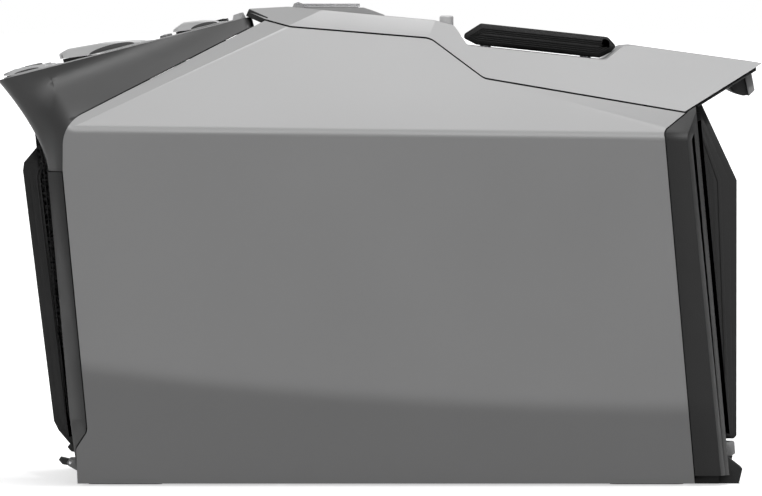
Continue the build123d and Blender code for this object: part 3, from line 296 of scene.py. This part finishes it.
# %% Stretched-line metals
def lined_metal(name, colour, rough, stretch, depth):
    """A metal whose bump is noise stretched along one direction."""
    finish = moulded(name, colour, tuple(c * 0.86 for c in colour), rough, 30, 1200, depth, 1.0)
    nodes, links = finish.node_tree.nodes, finish.node_tree.links
    place = nodes.new("ShaderNodeTexCoord")
    mapping = nodes.new("ShaderNodeMapping")
    mapping.inputs["Scale"].default_value = stretch
    lines = nodes.new("ShaderNodeTexNoise")
    lines.inputs["Scale"].default_value = 900
    lines.inputs["Detail"].default_value = 2
    bump = next(node for node in nodes if node.type == "BUMP")
    links.new(place.outputs["Object"], mapping.inputs["Vector"])
    links.new(mapping.outputs["Vector"], lines.inputs["Vector"])
    links.new(lines.outputs["Fac"], bump.inputs["Height"])
    return finish


finish["steel"] = lined_metal("steel", (0.56, 0.56, 0.57), (0.22, 0.34), (1, 0.05, 1), 0.25)
finish["sheet_metal"] = lined_metal("sheet_metal", (0.62, 0.63, 0.65), (0.30, 0.45), (0.04, 1, 1), 0.15)
finish["copper"] = lined_metal("copper", (0.72, 0.43, 0.25), (0.25, 0.38), (0.05, 1, 1), 0.20)

# %% Circuit boards and cells
def patterned(name, base, mark, pattern, scale, edge, rough):
    """A finish with one sharp pattern over its base colour."""
    finish = moulded(name, base, tuple(c * 0.85 for c in base), rough, 40, 1500, 0.05)
    nodes, links = finish.node_tree.nodes, finish.node_tree.links
    shader = nodes["Principled BSDF"]
    drift = next(n for n in nodes if n.type == "GROUP" and n.node_tree == tone)
    place = nodes.new("ShaderNodeTexCoord")
    texture = nodes.new(pattern)
    texture.inputs["Scale"].default_value = scale
    cut = nodes.new("ShaderNodeMapRange")
    cut.inputs["From Min"].default_value = edge
    cut.inputs["From Max"].default_value = edge + 0.02
    mix = nodes.new("ShaderNodeMix")
    mix.data_type = "RGBA"
    mix.inputs["B"].default_value = (*mark, 1)
    links.new(place.outputs["Object"], texture.inputs["Vector"])
    links.new(texture.outputs["Distance" if "Voronoi" in pattern else "Fac"], cut.inputs["Value"])
    links.new(cut.outputs["Result"], mix.inputs["Factor"])
    links.new(drift.outputs["Color"], mix.inputs["A"])
    links.new(mix.outputs["Result"], shader.inputs["Base Color"])
    if "Voronoi" in pattern:
        texture.distance = "CHEBYCHEV"
    return finish


finish["circuit_board"] = patterned(
    "circuit_board", (0.02, 0.16, 0.08), (0.10, 0.36, 0.20), "ShaderNodeTexVoronoi", 160, 0.42,
    (0.25, 0.35))
finish["cell_can"] = patterned(
    "cell_can", (0.10, 0.28, 0.52), (0.14, 0.36, 0.62), "ShaderNodeTexWave", 6, 0.93, (0.25, 0.35))
print("finishes:", len(finish))

# %% [markdown]
# ## Dressing the measured parts
# The record names a finish for every part, so each one is dressed from that list. The
# measured meshes are loose triangles. A Weld modifier joins them, a small Bevel rounds
# the moulded edges so that they catch the light, and Edge Split keeps real corners crisp
# while the faces between them are shaded smooth.

# %% Dress every CAD part
SOFT_EDGE = {"silver_shell": 0.30, "dark_frame": 0.35, "dash_grey": 0.30, "panel_grey": 0.25,
             "flap_grey": 0.25, "black_rubber": 0.30, "hook_grey": 0.25}
CRISP_ABOVE = {"silver_shell": 12}
CRISP_USUAL = 34


def dress(part, look, edge, crisp):
    """Weld, round and shade a measured part; edge in mm, crisp in degrees."""
    part.data.materials.clear()
    part.data.materials.append(look)
    part.data.polygons.foreach_set("use_smooth", [True] * len(part.data.polygons))
    weld = part.modifiers.new("weld", "WELD")
    weld.merge_threshold = 0.01 * MM
    if edge:
        bevel = part.modifiers.new("soft_edge", "BEVEL")
        bevel.width = edge * MM
        bevel.segments = 2
        bevel.angle_limit = radians(32)
        bevel.use_clamp_overlap = True
        bevel.harden_normals = False
    split = part.modifiers.new("crisp", "EDGE_SPLIT")
    split.split_angle = radians(crisp)


for row in frame["record"]["subparts"]:
    slot = row["material_slot"]
    dress(frame["nodes"][row["node"]], finish[slot], SOFT_EDGE.get(slot, 0),
          CRISP_ABOVE.get(slot, CRISP_USUAL))

# %% [markdown]
# ## Tools for moulding new pieces
# Three parts of the real station are soft mouldings covered in fine contour lines: the
# front bumper, the carry grip and the rear vent cowl. Drawing those lines on the
# measured solids would be slow there and is quick here: a working copy of the solid is
# cleaned into whole faces, and Inset cuts one groove after another into them, each
# following the outline of the face at a steady distance.

# %% Working copies and face picking
def only(piece):
    """Make one object the only selected one, and active."""
    if bpy.context.object and bpy.context.object.mode != "OBJECT":
        bpy.ops.object.mode_set(mode="OBJECT")
    bpy.ops.object.select_all(action="DESELECT")
    piece.select_set(True)
    bpy.context.view_layer.objects.active = piece
    return piece


def working_copy(node, name):
    """A copy of a measured part with its loose triangles merged into whole flat faces."""
    only(frame["nodes"][node])
    bpy.ops.object.duplicate()
    piece = bpy.context.object
    piece.name = name
    piece.parent = None
    piece.modifiers.clear()
    for key in [key for key in piece.keys() if key.startswith("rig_")]:
        del piece[key]
    only(piece)
    bpy.ops.object.mode_set(mode="EDIT")
    bpy.ops.mesh.customdata_custom_splitnormals_clear()
    bpy.ops.mesh.select_all(action="SELECT")
    bpy.ops.mesh.remove_doubles(threshold=0.01 * MM)
    bpy.ops.mesh.dissolve_limited(angle_limit=radians(1))
    bpy.ops.object.mode_set(mode="OBJECT")
    return piece


def pick_faces(piece, test):
    """Select the faces that pass the test and enter edit mode with them."""
    only(piece)
    mesh = piece.data
    mesh.vertices.foreach_set("select", [False] * len(mesh.vertices))
    mesh.edges.foreach_set("select", [False] * len(mesh.edges))
    mesh.polygons.foreach_set("select", [test(face) for face in mesh.polygons])
    bpy.ops.object.mode_set(mode="EDIT")
    bpy.ops.mesh.select_mode(type="FACE")


def cut_contours(piece, test, count, land, groove, depth, even=True):
    """Grooves that follow the outline of each picked face, one inside another."""
    pick_faces(piece, test)
    for _ in range(count):
        for width, sink in ((land, 0), (groove * 0.35, -depth), (groove * 0.3, 0),
                            (groove * 0.35, depth)):
            bpy.ops.mesh.inset(thickness=width * MM, depth=sink * MM, use_even_offset=even)
    bpy.ops.object.mode_set(mode="OBJECT")


def add_modifier(piece, kind, **settings):
    """Add a modifier, set it and apply it at once."""
    only(piece)
    made = piece.modifiers.new(kind.lower(), kind)
    for key, value in settings.items():
        setattr(made, key, value)
    bpy.ops.object.modifier_apply(modifier=made.name)


def close_up(piece, body, look, edge=0.0, angle=30):
    """Round the edges, shade, dress, put the piece's place in its mesh and let it ride."""
    only(piece)
    bpy.ops.object.transform_apply(location=True, rotation=True, scale=True)
    if edge:
        add_modifier(piece, "BEVEL", width=edge * MM, segments=2, limit_method="ANGLE",
                     angle_limit=radians(28), use_clamp_overlap=True)
    only(piece)
    bpy.ops.object.shade_smooth_by_angle(angle=radians(angle))
    piece.data.materials.clear()
    piece.data.materials.append(look)
    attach(piece, body)
    print(piece.name, len(piece.data.polygons), "faces")
    return piece


# %% [markdown]
# ## Front bumper
# The bumper is a thick rubber pad with stepped sides. Its face carries four nested
# contour grooves, and each side has a fine pair, so that it reads as layered from any
# side. The copy keeps the measured outline, so it stands for that part.

# %% Mould the bumper
bumper = working_copy("front_bumper", "bumper_moulding")
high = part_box("front_bumper")[1]
cut_contours(bumper, lambda f: f.normal.x < -0.9 and f.area > 0.02, 4, 5.0, 2.4, 1.2)
cut_contours(bumper, lambda f: abs(f.normal.y) > 0.95 and abs(f.center.y) > high.y - MM,
             2, 1.0, 1.1, 0.8)
close_up(bumper, "housing", finish["black_rubber"], 0.5)
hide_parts("front_bumper")

# %% [markdown]
# ## Carry grip
# The grip is rubber over a steel core. Fine contour ridges run round inside the outline
# of each flank, where the fingers close on it.

# %% Mould the grip
grip = working_copy("carry_grip", "grip_moulding")
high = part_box("carry_grip")[1]
cut_contours(grip, lambda f: abs(f.normal.y) > 0.95 and abs(f.center.y) > high.y - 0.2 * MM,
             3, 0.5, 0.9, 0.7, even=False)
close_up(grip, "grip", finish["black_rubber"], 0.35)
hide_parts("carry_grip")

# %% [markdown]
# ## Rear vent cowl
# The cowl over the fans has tall slots in its back. Its sides carry upright contour
# grooves, and a fine wire gauze behind the slots keeps fingers and grit away from the
# fans. The gauze is a grid turned into wires by the Wireframe modifier.

# %% Mould the cowl
cowl = working_copy("rear_vent_cowl", "vent_moulding")
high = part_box("rear_vent_cowl")[1]
cut_contours(cowl, lambda f: (abs(f.normal.y) > 0.95 and abs(f.center.y) > high.y - MM
                              and f.area > 0.001), 2, 2.2, 1.2, 0.3, even=False)
close_up(cowl, "housing", finish["dark_frame"], 0.5)
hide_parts("rear_vent_cowl")

# %% Weave the gauze
GAUZE_HALF = 0.0825
GAUZE_LOW, GAUZE_HIGH = 0.062, 0.202
GAUZE_MESH = 3.2 * MM
GAUZE_BEHIND = 3.9 * MM
gauze_rows = round((GAUZE_HIGH - GAUZE_LOW) / GAUZE_MESH)
gauze_columns = round(2 * GAUZE_HALF / GAUZE_MESH)
gauze_middle = (GAUZE_LOW + GAUZE_HIGH) / 2
bpy.ops.object.select_all(action="DESELECT")
bpy.ops.mesh.primitive_grid_add(
    x_subdivisions=gauze_rows, y_subdivisions=gauze_columns, size=1,
    location=(high.x - GAUZE_BEHIND, 0, gauze_middle), rotation=(0, pi / 2, 0))
gauze = bpy.context.object
gauze.name = "vent_gauze"
gauze.scale = (GAUZE_HIGH - GAUZE_LOW, 2 * GAUZE_HALF, 1)
only(gauze)
bpy.ops.object.transform_apply(location=True, rotation=True, scale=True)
add_modifier(gauze, "WIREFRAME", thickness=0.6 * MM, use_even_offset=False)
close_up(gauze, "housing", finish["steel"])

# %% [markdown]
# ## Feet
# The soft feet have a few cross grooves underneath for grip. They are inset into the
# flat undersides of the measured feet.

# %% Groove the feet
feet = working_copy("base_feet", "grooved_feet")
cut_contours(feet, lambda f: f.normal.z < -0.9, 2, 1.6, 1.2, 0.7, even=False)
close_up(feet, "housing", finish["black_rubber"], 0.3)
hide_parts("base_feet")

# %% [markdown]
# ## Strip between the cowl and the top cover
# A dark strip lies under the front edge of the top cover and closes the slot
# behind the dash cowl; its black is painted shade under that edge. It leans back with the shoulder.

# %% Lay the strip
STRIP_CENTRE = (-0.0875, 0, 0.3297)
STRIP_LEAN = radians(24)
bpy.ops.object.select_all(action="DESELECT")
bpy.ops.mesh.primitive_cube_add(size=1, location=STRIP_CENTRE, rotation=(0, STRIP_LEAN, 0))
cowl_shade_strip = bpy.context.object
cowl_shade_strip.name = "cowl_shade_strip"
cowl_shade_strip.scale = (15 * MM, 152 * MM, 5.5 * MM)
# The strip's black rubber paints the shade under the cover's front edge.
close_up(cowl_shade_strip, "housing", finish["black_rubber"], 0.6)

# %% [markdown]
# ## Pad under the lashing ring
# A thin black pad lies under the steel ring on its mount. Its black is painted shadow,
# and shows as a dark line under the ring.

# %% Lay the pad
ring_low, ring_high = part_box("lash_ring")
PAD_THICK = 0.5 * MM
PAD_SHIFT = 2 * MM
PAD_SHORTER = 6 * MM
PAD_NARROWER = 1 * MM
pad_middle = (ring_low.x + ring_high.x) / 2 + PAD_SHIFT
bpy.ops.object.select_all(action="DESELECT")
bpy.ops.mesh.primitive_cube_add(size=1, location=(pad_middle, 0, ring_low.z - PAD_THICK / 2))
ring_shadow_pad = bpy.context.object
ring_shadow_pad.name = "ring_shadow_pad"
ring_shadow_pad.scale = (ring_high.x - ring_low.x - PAD_SHORTER,
                  ring_high.y - ring_low.y - PAD_NARROWER, PAD_THICK)
# The black pad is painted shadow under the ring.
close_up(ring_shadow_pad, "housing", finish["black_rubber"], 0.1)
print("ring:", ring_low, ring_high)

# %% [markdown]
# ## The dash's own axes
# Everything on the sloping dash is easier to make flat and then lean back. Here u runs
# up the slope, v across and w out of the panel, all in millimetres.

# %% Lean things onto the dash
DASH_SLOPE = radians(14.2)
DASH_ORIGIN = Vector((-0.1815, 0, 0.3072))
lean = Matrix.Translation(DASH_ORIGIN) @ Matrix.Rotation(-DASH_SLOPE, 4, "Y")


def on_dash(piece, u, v, w):
    """Lay a piece that was made flat at the origin onto the dash at (u, v, w) mm."""
    piece.matrix_world = lean @ Matrix.Translation(Vector((u, v, w)) * MM) @ piece.matrix_world
    only(piece)
    bpy.ops.object.transform_apply(location=True, rotation=True, scale=True)
    return piece


def flat_block(name, size, round_by=0.0, top_round=0.0):
    """A low block with rounded corners, its underside on z = 0; sizes in mm."""
    bpy.ops.object.select_all(action="DESELECT")
    bpy.ops.mesh.primitive_plane_add(size=1, location=(0, 0, 0))
    piece = bpy.context.object
    piece.name = name
    piece.scale = (size[0] * MM, size[1] * MM, 1)
    only(piece)
    bpy.ops.object.transform_apply(location=False, rotation=False, scale=True)
    bpy.ops.object.mode_set(mode="EDIT")
    bpy.ops.mesh.select_all(action="SELECT")
    if round_by:
        bpy.ops.mesh.bevel(offset=round_by * MM, segments=6, affect="VERTICES")
    bpy.ops.mesh.select_all(action="SELECT")
    bpy.ops.mesh.extrude_region_move(TRANSFORM_OT_translate={"value": (0, 0, size[2] * MM)})
    bpy.ops.mesh.select_all(action="SELECT")
    bpy.ops.mesh.normals_make_consistent(inside=False)
    bpy.ops.object.mode_set(mode="OBJECT")
    if top_round:
        pick_faces(piece, lambda f: f.normal.z > 0.9)
        bpy.ops.mesh.inset(thickness=top_round * MM, depth=0)
        bpy.ops.transform.translate(value=(0, 0, top_round * 0.4 * MM))
        bpy.ops.object.mode_set(mode="OBJECT")
    return piece


def join(pieces, name):
    """Join several objects into the first one."""
    only(pieces[0])
    for piece in pieces:
        piece.select_set(True)
    bpy.ops.object.join()
    pieces[0].name = name
    return pieces[0]


# %% [markdown]
# ## Display
# The display is a dark glass with a domed edge over the measured bezel. It shows only a
# row of five charge bars, which are thin and glow a little.

# %% Glass and charge bars
glow = bpy.data.materials.new("display_glow")
glow.use_nodes = True
glow_shader = glow.node_tree.nodes["Principled BSDF"]
glow_drift = glow.node_tree.nodes.new("ShaderNodeGroup")
glow_drift.node_tree = tone
glow_drift.inputs["Light"].default_value = (0.75, 0.80, 0.82, 1)
glow_drift.inputs["Dark"].default_value = (0.62, 0.68, 0.70, 1)
glow_drift.inputs["Size"].default_value = 60
glow.node_tree.links.new(glow_drift.outputs["Color"], glow_shader.inputs["Base Color"])
glow.node_tree.links.new(glow_drift.outputs["Color"], glow_shader.inputs["Emission Color"])
glow_shader.inputs["Emission Strength"].default_value = 0.35
glow_shader.inputs["Roughness"].default_value = 0.3

DISPLAY_U = 56.5
DISPLAY_TOP = 3.0
glass = flat_block("display_glass", (32, 41, 0.25), 3.0, 0.5)
on_dash(glass, DISPLAY_U, 0, DISPLAY_TOP)
close_up(glass, "housing", finish["gloss_black"])
bars = []
for index in range(5):
    bar = flat_block("bar", (5.0 + 1.6 * index, 4.2, 0.12), 0.6)
    bars.append(on_dash(bar, DISPLAY_U - 8.5 + 0.8 * index, -14 + 7 * index, DISPLAY_TOP + 0.44))
close_up(join(bars, "display_bars"), "housing", glow)

# %% [markdown]
# ## Marks on the buttons
# The four buttons carry the plain signs that any such panel has: a ring with a bar for
# power, a small sun for the lamp, a wave for mains and a bar over dashes for direct
# current. Each is a thin raised print that moves with its button.

# %% Ring, bar, sun, wave and dashes
MARK = 0.14
ROUND_TOP = 5.0
PILL_TOP = 2.5


def ring_mark(radius, thick, gap=None):
    """A flat ring, with an opening towards +u where a gap is given."""
    bpy.ops.object.select_all(action="DESELECT")
    bpy.ops.mesh.primitive_circle_add(vertices=48, radius=radius * MM, fill_type="NOTHING")
    piece = bpy.context.object
    bpy.ops.object.mode_set(mode="EDIT")
    bpy.ops.mesh.select_all(action="SELECT")
    bpy.ops.mesh.extrude_edges_move(TRANSFORM_OT_translate={"value": (0, 0, 0)})
    share = 1 - thick / radius
    bpy.ops.transform.resize(value=(share, share, 1), center_override=(0, 0, 0))
    bpy.ops.object.mode_set(mode="OBJECT")
    if gap:
        pick_faces(piece, lambda f: f.center.x > 0 and abs(f.center.y) < gap * MM)
        bpy.ops.mesh.delete(type="FACE")
        bpy.ops.object.mode_set(mode="OBJECT")
    add_modifier(piece, "SOLIDIFY", thickness=MARK * MM, offset=1)
    only(piece)
    bpy.ops.object.mode_set(mode="EDIT")
    bpy.ops.mesh.select_all(action="SELECT")
    bpy.ops.mesh.normals_make_consistent(inside=False)
    bpy.ops.object.mode_set(mode="OBJECT")
    return piece


def bar_mark(size, at=(0, 0), turn=0.0):
    """A flat bar of the print's thickness, placed first and then turned about the origin."""
    piece = flat_block("bar", (*size, MARK))
    piece.matrix_world = Matrix.Rotation(turn, 4, "Z") @ Matrix.Translation((at[0] * MM, at[1] * MM, 0))
    only(piece)
    bpy.ops.object.transform_apply(location=True, rotation=True, scale=True)
    return piece


ROUND_U = -70.5
PILL_U = 29
power = join([ring_mark(3.4, 0.7, 1.2), bar_mark((3.4, 0.7), (2.4, 0))], "power_mark")
close_up(on_dash(power, ROUND_U, -20, ROUND_TOP), "power_button_body",
         finish["panel_grey"])
rays = [bar_mark((1.3, 0.5), (3.6, 0), index * pi / 4) for index in range(8)]
sun = join([ring_mark(2.2, 0.6)] + rays, "lamp_mark")
close_up(on_dash(sun, ROUND_U, 20, ROUND_TOP), "light_button_body",
         finish["panel_grey"])
WAVE_STEPS = 12
WAVE_LONG = 6.0
WAVE_HIGH = 0.9
WAVE_TURN = 2 * pi / WAVE_LONG
wave = []
for index in range(WAVE_STEPS):
    y0 = WAVE_LONG * (index / WAVE_STEPS - 0.5)
    y1 = y0 + WAVE_LONG / WAVE_STEPS
    x0, x1 = WAVE_HIGH * sin(y0 * WAVE_TURN), WAVE_HIGH * sin(y1 * WAVE_TURN)
    run = Vector((x1 - x0, y1 - y0))
    wave.append(bar_mark((run.length + 0.25, 0.55)))
    wave[-1].matrix_world = (Matrix.Translation(((x0 + x1) / 2 * MM, (y0 + y1) / 2 * MM, 0))
                             @ Matrix.Rotation(Vector((1, 0)).angle_signed(run) * -1, 4, "Z"))
    only(wave[-1])
    bpy.ops.object.transform_apply(location=True, rotation=True, scale=True)
close_up(on_dash(join(wave, "mains_mark"), PILL_U, -30, PILL_TOP), "ac_button_body",
         finish["panel_grey"])
dashes = [bar_mark((0.55, 6.0), (0.8, 0))]
dashes += [bar_mark((0.55, 1.4), (-0.8, v)) for v in (-2.3, 0, 2.3)]
close_up(on_dash(join(dashes, "direct_mark"), PILL_U, 30, PILL_TOP), "dc_button_body",
         finish["panel_grey"])

# %% [markdown]
# ## Flap cheeks of painted shade, and thumb ridges
# Each flap is a pale dome. At each side a slim dark lens paints the shade on the flap's flank.
# The lens starts as a cylinder, is flattened to an ellipse and cut flat below with
# Bisect. Three ridges near the tip are where a thumb pushes it up.
# Bisect. Three ridges near the tip are where a thumb pushes it up.

# %% Painted-shade cheeks and ridges for every flap
FLAP_SHAPES = {
    "ac": {"lens": (-8.5, 1.7, 16.5, 3.2), "half": 29.0, "tip": (-46.0, 7.6), "rise": (-38.3, 9.7)},
    "port": {"lens": (58.5, 1.6, 9.5, 2.3), "half": 23.0, "tip": (36.0, 4.2), "rise": (45.0, 7.7)},
    "input": {"lens": (-70.0, 1.5, 9.0, 1.1), "half": 33.0, "tip": (-86.5, 3.4), "rise": (-77.0, 4.8)},
}
FLAPS = [("ac_flap_1", "ac", -64), ("ac_flap_2", "ac", 0), ("ac_flap_3", "ac", 64),
         ("dc_flap", "port", -51), ("usb_flap", "port", 51),
         ("input_flap", "input", -85), ("solar_flap", "input", 85)]
CHEEK_PROUD = 0.25
CHEEK_THICK = CHEEK_PROUD + 0.6
RIDGE_SHARES = (0.30, 0.52, 0.74)
RIDGE_SUNK = 0.08


def flap_shade_lens(lens, v):
    """A dark lens of painted shade on one side of a flap, and its place on the dash."""
    u, w, half_u, half_w = lens
    bpy.ops.object.select_all(action="DESELECT")
    bpy.ops.mesh.primitive_cylinder_add(vertices=48, radius=1, depth=1, rotation=(pi / 2, 0, 0))
    piece = bpy.context.object
    only(piece)
    bpy.ops.object.transform_apply(location=False, rotation=True, scale=False)
    piece.scale = (half_u * MM, CHEEK_THICK * MM, half_w * MM)
    bpy.ops.object.transform_apply(location=False, rotation=False, scale=True)
    bpy.ops.object.mode_set(mode="EDIT")
    bpy.ops.mesh.select_all(action="SELECT")
    bpy.ops.mesh.bisect(plane_co=(0, 0, 0.02 * MM), plane_no=(0, 0, 1), use_fill=True, clear_inner=True)
    bpy.ops.object.mode_set(mode="OBJECT")
    side = 1 if v > 0 else -1
    return piece, (u, v + side * (CHEEK_PROUD - CHEEK_THICK / 2), w)


DASH_NORMAL = Vector((-sin(DASH_SLOPE), 0, cos(DASH_SLOPE)))
DOME_ROUND = {"ac": 2.6, "port": 2.0, "input": 1.2}
HINGE_U = {"ac": 16.5, "port": 73.5, "input": -52.3}
CROWN_CLEAR = 5


def domed_flap(node, kind):
    """A copy of a flap with the rim of its top rolled over into a soft dome."""
    piece = working_copy(node, node + "_dome")
    back = lean.inverted()

    def on_crown(face):
        u = (back @ face.center).x / MM
        return face.normal.dot(DASH_NORMAL) > 0.75 and u < HINGE_U[kind] - CROWN_CLEAR

    pick_faces(piece, on_crown)
    bpy.ops.mesh.region_to_loop()
    bpy.ops.mesh.bevel(offset=DOME_ROUND[kind] * MM, segments=5, profile=0.5, clamp_overlap=True)
    bpy.ops.object.mode_set(mode="OBJECT")
    close_up(piece, node + "_body", finish["flap_grey"], 0, 40)
    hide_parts(node)


for name, kind, centre in FLAPS:
    domed_flap(name, kind)
    shape = FLAP_SHAPES[kind]
    # Dark lenses on both sides of the flap: painted shade on its flanks, in the dash grey.
    shade_lenses = []
    for side in (-1, 1):
        shade_lens, place = flap_shade_lens(shape["lens"], side * shape["half"])
        shade_lenses.append(on_dash(shade_lens, place[0], centre + place[1], place[2]))
    close_up(join(shade_lenses, name + "_cheeks"), name + "_body", finish["dash_grey"], 0.12)
    (u0, w0), (u1, w1) = shape["tip"], shape["rise"]
    ridges = []
    slope = atan((w1 - w0) / (u1 - u0))
    for share in RIDGE_SHARES:
        ridge = flat_block("ridge", (0.9, shape["half"] * 0.8, 0.35), 0.4, 0.15)
        ridge.matrix_world = Matrix.Rotation(-slope, 4, "Y")
        ridges.append(on_dash(ridge, u0 + (u1 - u0) * share, centre,
                              w0 + (w1 - w0) * share - RIDGE_SUNK))
    close_up(join(ridges, name + "_ridges"), name + "_body", finish["flap_grey"])

# %% [markdown]
# ## What the flaps cover
# Under the flaps are the usual openings: springy earth clips at the edge of each mains
# socket, a plated sleeve in the car socket, and a tongue in each small socket.

# %% Clips, sleeve and tongues
SOCKET_FACE = 0.2
CLIP_DEEP = 16
CLIP_APART = 18.7
CAR_SOCKET = (55.75, -51)
clips = []
for centre in (-64, 0, 64):
    for side in (-1, 1):
        clip = flat_block("clip", (4.2, 1.1, 13.0), 0.4, 0.2)
        clips.append(on_dash(clip, -14.5, centre + side * CLIP_APART, SOCKET_FACE - CLIP_DEEP))
close_up(join(clips, "earth_clips"), "housing", finish["steel"], 0.15)

bpy.ops.object.select_all(action="DESELECT")
bpy.ops.mesh.primitive_cylinder_add(vertices=64, radius=10.4 * MM, depth=26 * MM,
                                    end_fill_type="NOTHING")
sleeve = bpy.context.object
sleeve.name = "car_socket_sleeve"
add_modifier(sleeve, "SOLIDIFY", thickness=0.4 * MM, offset=-1)
on_dash(sleeve, *CAR_SOCKET, SOCKET_FACE - 15)
close_up(sleeve, "housing", finish["steel"], 0.1)

tongues = []
for v in (40.5, 61.5):
    tongue = flat_block("tongue", (11.6, 1.9, 9.5), 0.4, 0.2)
    tongues.append(on_dash(tongue, 55.3, v + 0.9, SOCKET_FACE - 13))
for u in (49.1, 61.6):
    tongue = flat_block("tongue", (6.4, 0.7, 6.0), 0.3, 0.1)
    tongues.append(on_dash(tongue, u, 51, SOCKET_FACE - 8))
close_up(join(tongues, "usb_tongues"), "housing", finish["port_plastic"])
